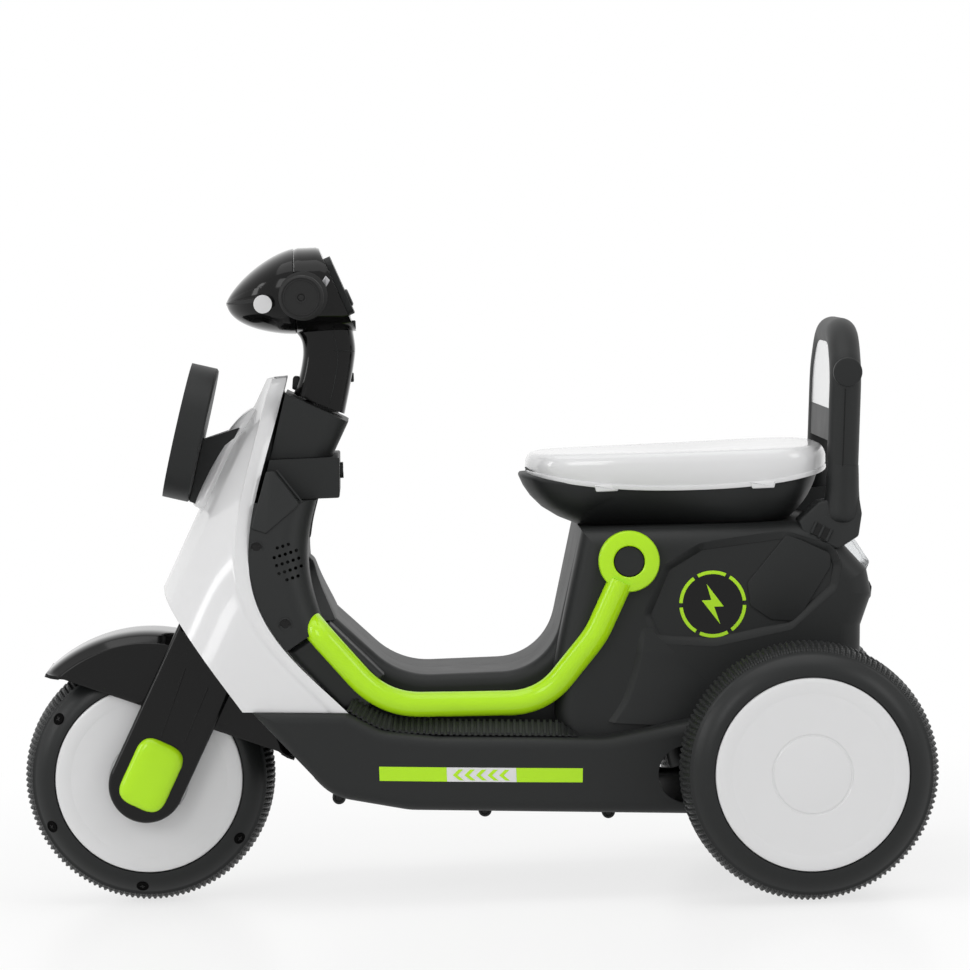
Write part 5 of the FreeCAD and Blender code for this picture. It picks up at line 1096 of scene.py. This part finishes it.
# Inset of the outline, its scale, share of the cap's height
CAP_RINGS = [(0.4, 1, 0), (0, 1, 0.1), (0, 1, 0.3), (0.5, 1, 0.5), (1.5, 1, 0.67), (3, 1, 0.81), (5, 1, 0.89),
             (7, 1, 0.94), (7, 0.75, 0.98), (7, 0.4, 1.0), (7, 0.1, 1.0)]
low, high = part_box("fork_cap_left")
cap_foot, cap_face = low.y / MM, high.y / MM
bm = bmesh.new()
for side in BOTH:
    outline = rounded(CAP, 8)
    rings = []
    for inset, size, height in CAP_RINGS:
        ring = []
        for u, w in offset(outline, inset):
            u, w = u * size, CAP_MIDDLE + (w - CAP_MIDDLE) * size
            x = FRONT_X + u * math.cos(RAKE) - w * math.sin(RAKE)
            z = AXLE_Z + u * math.sin(RAKE) + w * math.cos(RAKE)
            ring.append(mm(x, side * (cap_foot + height * (cap_face - cap_foot)), z))
        rings.append(ring)
    skin(bm, rings)
put("look_fork_caps", bm, "lime_gloss", "steering", replaces=("fork_cap_left", "fork_cap_right"), angle=50)

# Ridges along the fork legs
FORK_RIDGES = (((209, 176), (229, 126)), ((193, 161), (212, 121)))
low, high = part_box("fork_left")
face = high.y / MM
bm = bmesh.new()
for side in BOTH:
    for start, end in FORK_RIDGES:
        line = [Vector(start).lerp(Vector(end), share) for share in shares(10)]
        pipe(bm, [(spot.x, side * (face - 0.35), spot.y) for spot in line], 0.8, 8)
put("look_fork_ridges", bm, "black_gloss", "steering")

# Camera
CAMERA_PLACE = Vector((0.06116, 3.465, 0.48957))
CAMERA_AZIMUTH = -0.0230
CAMERA_ELEVATION = 0.0548
CAMERA_ROLL = -0.0393
camera = bpy.data.objects.new("camera", bpy.data.cameras.new("camera"))
scene.collection.objects.link(camera)
camera.data.sensor_width = 36.0
camera.data.lens = 172.09
camera.data.dof.use_dof = False
forward = Vector((math.sin(CAMERA_AZIMUTH) * math.cos(CAMERA_ELEVATION),
                  -math.cos(CAMERA_AZIMUTH) * math.cos(CAMERA_ELEVATION), -math.sin(CAMERA_ELEVATION)))
level = forward.cross(Vector((0, 0, 1))).normalized()
upright = level.cross(forward)
right = math.cos(CAMERA_ROLL) * level + math.sin(CAMERA_ROLL) * upright
above = math.cos(CAMERA_ROLL) * upright - math.sin(CAMERA_ROLL) * level
turn = Matrix((right, above, -forward)).transposed().to_4x4()
camera.matrix_world = Matrix.Translation(CAMERA_PLACE) @ turn
scene.camera = camera

# Studio: pale floor that fades to white, white surroundings, large soft lamps
FLOOR_REACH = 14.0
FADE_FROM, FADE_TO = 0.32, 0.95
FLOOR_GLOW = 0.72
SKY = 0.52
FLOOR_DROP = -0.0006
WHITE = (1, 1, 1, 1)


def seen_directly(tree, place):
    """1 for rays from the camera, a mirror or glass, 0 for light that bounces diffusely."""
    ray = add_node(tree, "ShaderNodeLightPath", place)
    total = ray.outputs["Is Camera Ray"]
    for output in ("Is Glossy Ray", "Is Transmission Ray"):
        either = add_node(tree, "ShaderNodeMath", (place[0] + 200, place[1]))
        either.operation = "MAXIMUM"
        tree.links.new(total, either.inputs[0])
        tree.links.new(ray.outputs[output], either.inputs[1])
        total = either.outputs[0]
    return total


bm = bmesh.new()
bmesh.ops.create_grid(bm, x_segments=8, y_segments=8, size=FLOOR_REACH)
floor_mesh = bpy.data.meshes.new("studio_floor")
bm.to_mesh(floor_mesh)
bm.free()
floor_look = bpy.data.materials.new("studio floor")
floor_look.use_nodes = True
tree = floor_look.node_tree
link = tree.links.new
plain = tree.nodes["Principled BSDF"]
plain.inputs["Base Color"].default_value = (0.95, 0.95, 0.95, 1)
plain.inputs["Roughness"].default_value = 0.3
plain.inputs["Specular IOR Level"].default_value = 0.25
glow = add_node(tree, "ShaderNodeEmission", (0, -250), Color=WHITE, Strength=1.0)
spot = add_node(tree, "ShaderNodeTexCoord", (-900, 200))
reach = add_node(tree, "ShaderNodeVectorMath", (-700, 200))
reach.operation = "LENGTH"
fade = add_node(tree, "ShaderNodeMapRange", (-500, 200), From_Min=FADE_FROM, From_Max=FADE_TO,
                To_Min=FLOOR_GLOW)
fade.interpolation_type = "SMOOTHSTEP"
shown = add_node(tree, "ShaderNodeMath", (-250, 100))
shown.operation = "MULTIPLY"
blend = add_node(tree, "ShaderNodeMixShader", (250, 0))
link(spot.outputs["Object"], reach.inputs[0])
link(reach.outputs["Value"], fade.inputs["Value"])
link(fade.outputs["Result"], shown.inputs[0])
link(seen_directly(tree, (-900, -200)), shown.inputs[1])
link(shown.outputs[0], blend.inputs[0])
link(plain.outputs[0], blend.inputs[1])
link(glow.outputs[0], blend.inputs[2])
link(blend.outputs[0], tree.nodes["Material Output"].inputs["Surface"])
floor_mesh.materials.append(floor_look)
floor = bpy.data.objects.new("studio_floor", floor_mesh)
scene.collection.objects.link(floor)
floor.location.z = FLOOR_DROP

world = bpy.data.worlds.new("studio")
scene.world = world
world.use_nodes = True
tree = world.node_tree
link = tree.links.new
tree.nodes.clear()
shown = add_node(tree, "ShaderNodeOutputWorld", (400, 0))
soft = add_node(tree, "ShaderNodeBackground", (0, 100), Color=WHITE, Strength=SKY)
white = add_node(tree, "ShaderNodeBackground", (0, -100), Color=WHITE, Strength=1.0)
both = add_node(tree, "ShaderNodeMixShader", (200, 0))
link(seen_directly(tree, (-600, 300)), both.inputs[0])
link(soft.outputs[0], both.inputs[1])
link(white.outputs[0], both.inputs[2])
link(both.outputs[0], shown.inputs["Surface"])


def lamp(name, place, target, size, power):
    """Large soft lamp that looks at a point."""
    data = bpy.data.lights.new(name, "AREA")
    data.shape = "RECTANGLE"
    data.size, data.size_y = size
    data.energy = power
    made = bpy.data.objects.new(name, data)
    scene.collection.objects.link(made)
    made.location = place
    made.rotation_mode = "QUATERNION"
    made.rotation_quaternion = (Vector(target) - Vector(place)).to_track_quat("-Z", "Y")


lamp("lamp_top", (0.1, 0.3, 2.3), (0, 0, 0.2), (2.4, 1.6), 15)
lamp("lamp_side", (1.5, 2.3, 1.5), (0, 0, 0.25), (0.9, 1.3), 12)
lamp("lamp_glint", (1.9, 0.5, 1.0), (0.15, 0, 0.3), (0.35, 0.9), 5)
lamp("lamp_back", (-1.9, 1.5, 1.4), (0, 0, 0.25), (0.8, 1.2), 9)

scene.view_settings.view_transform = "Standard"
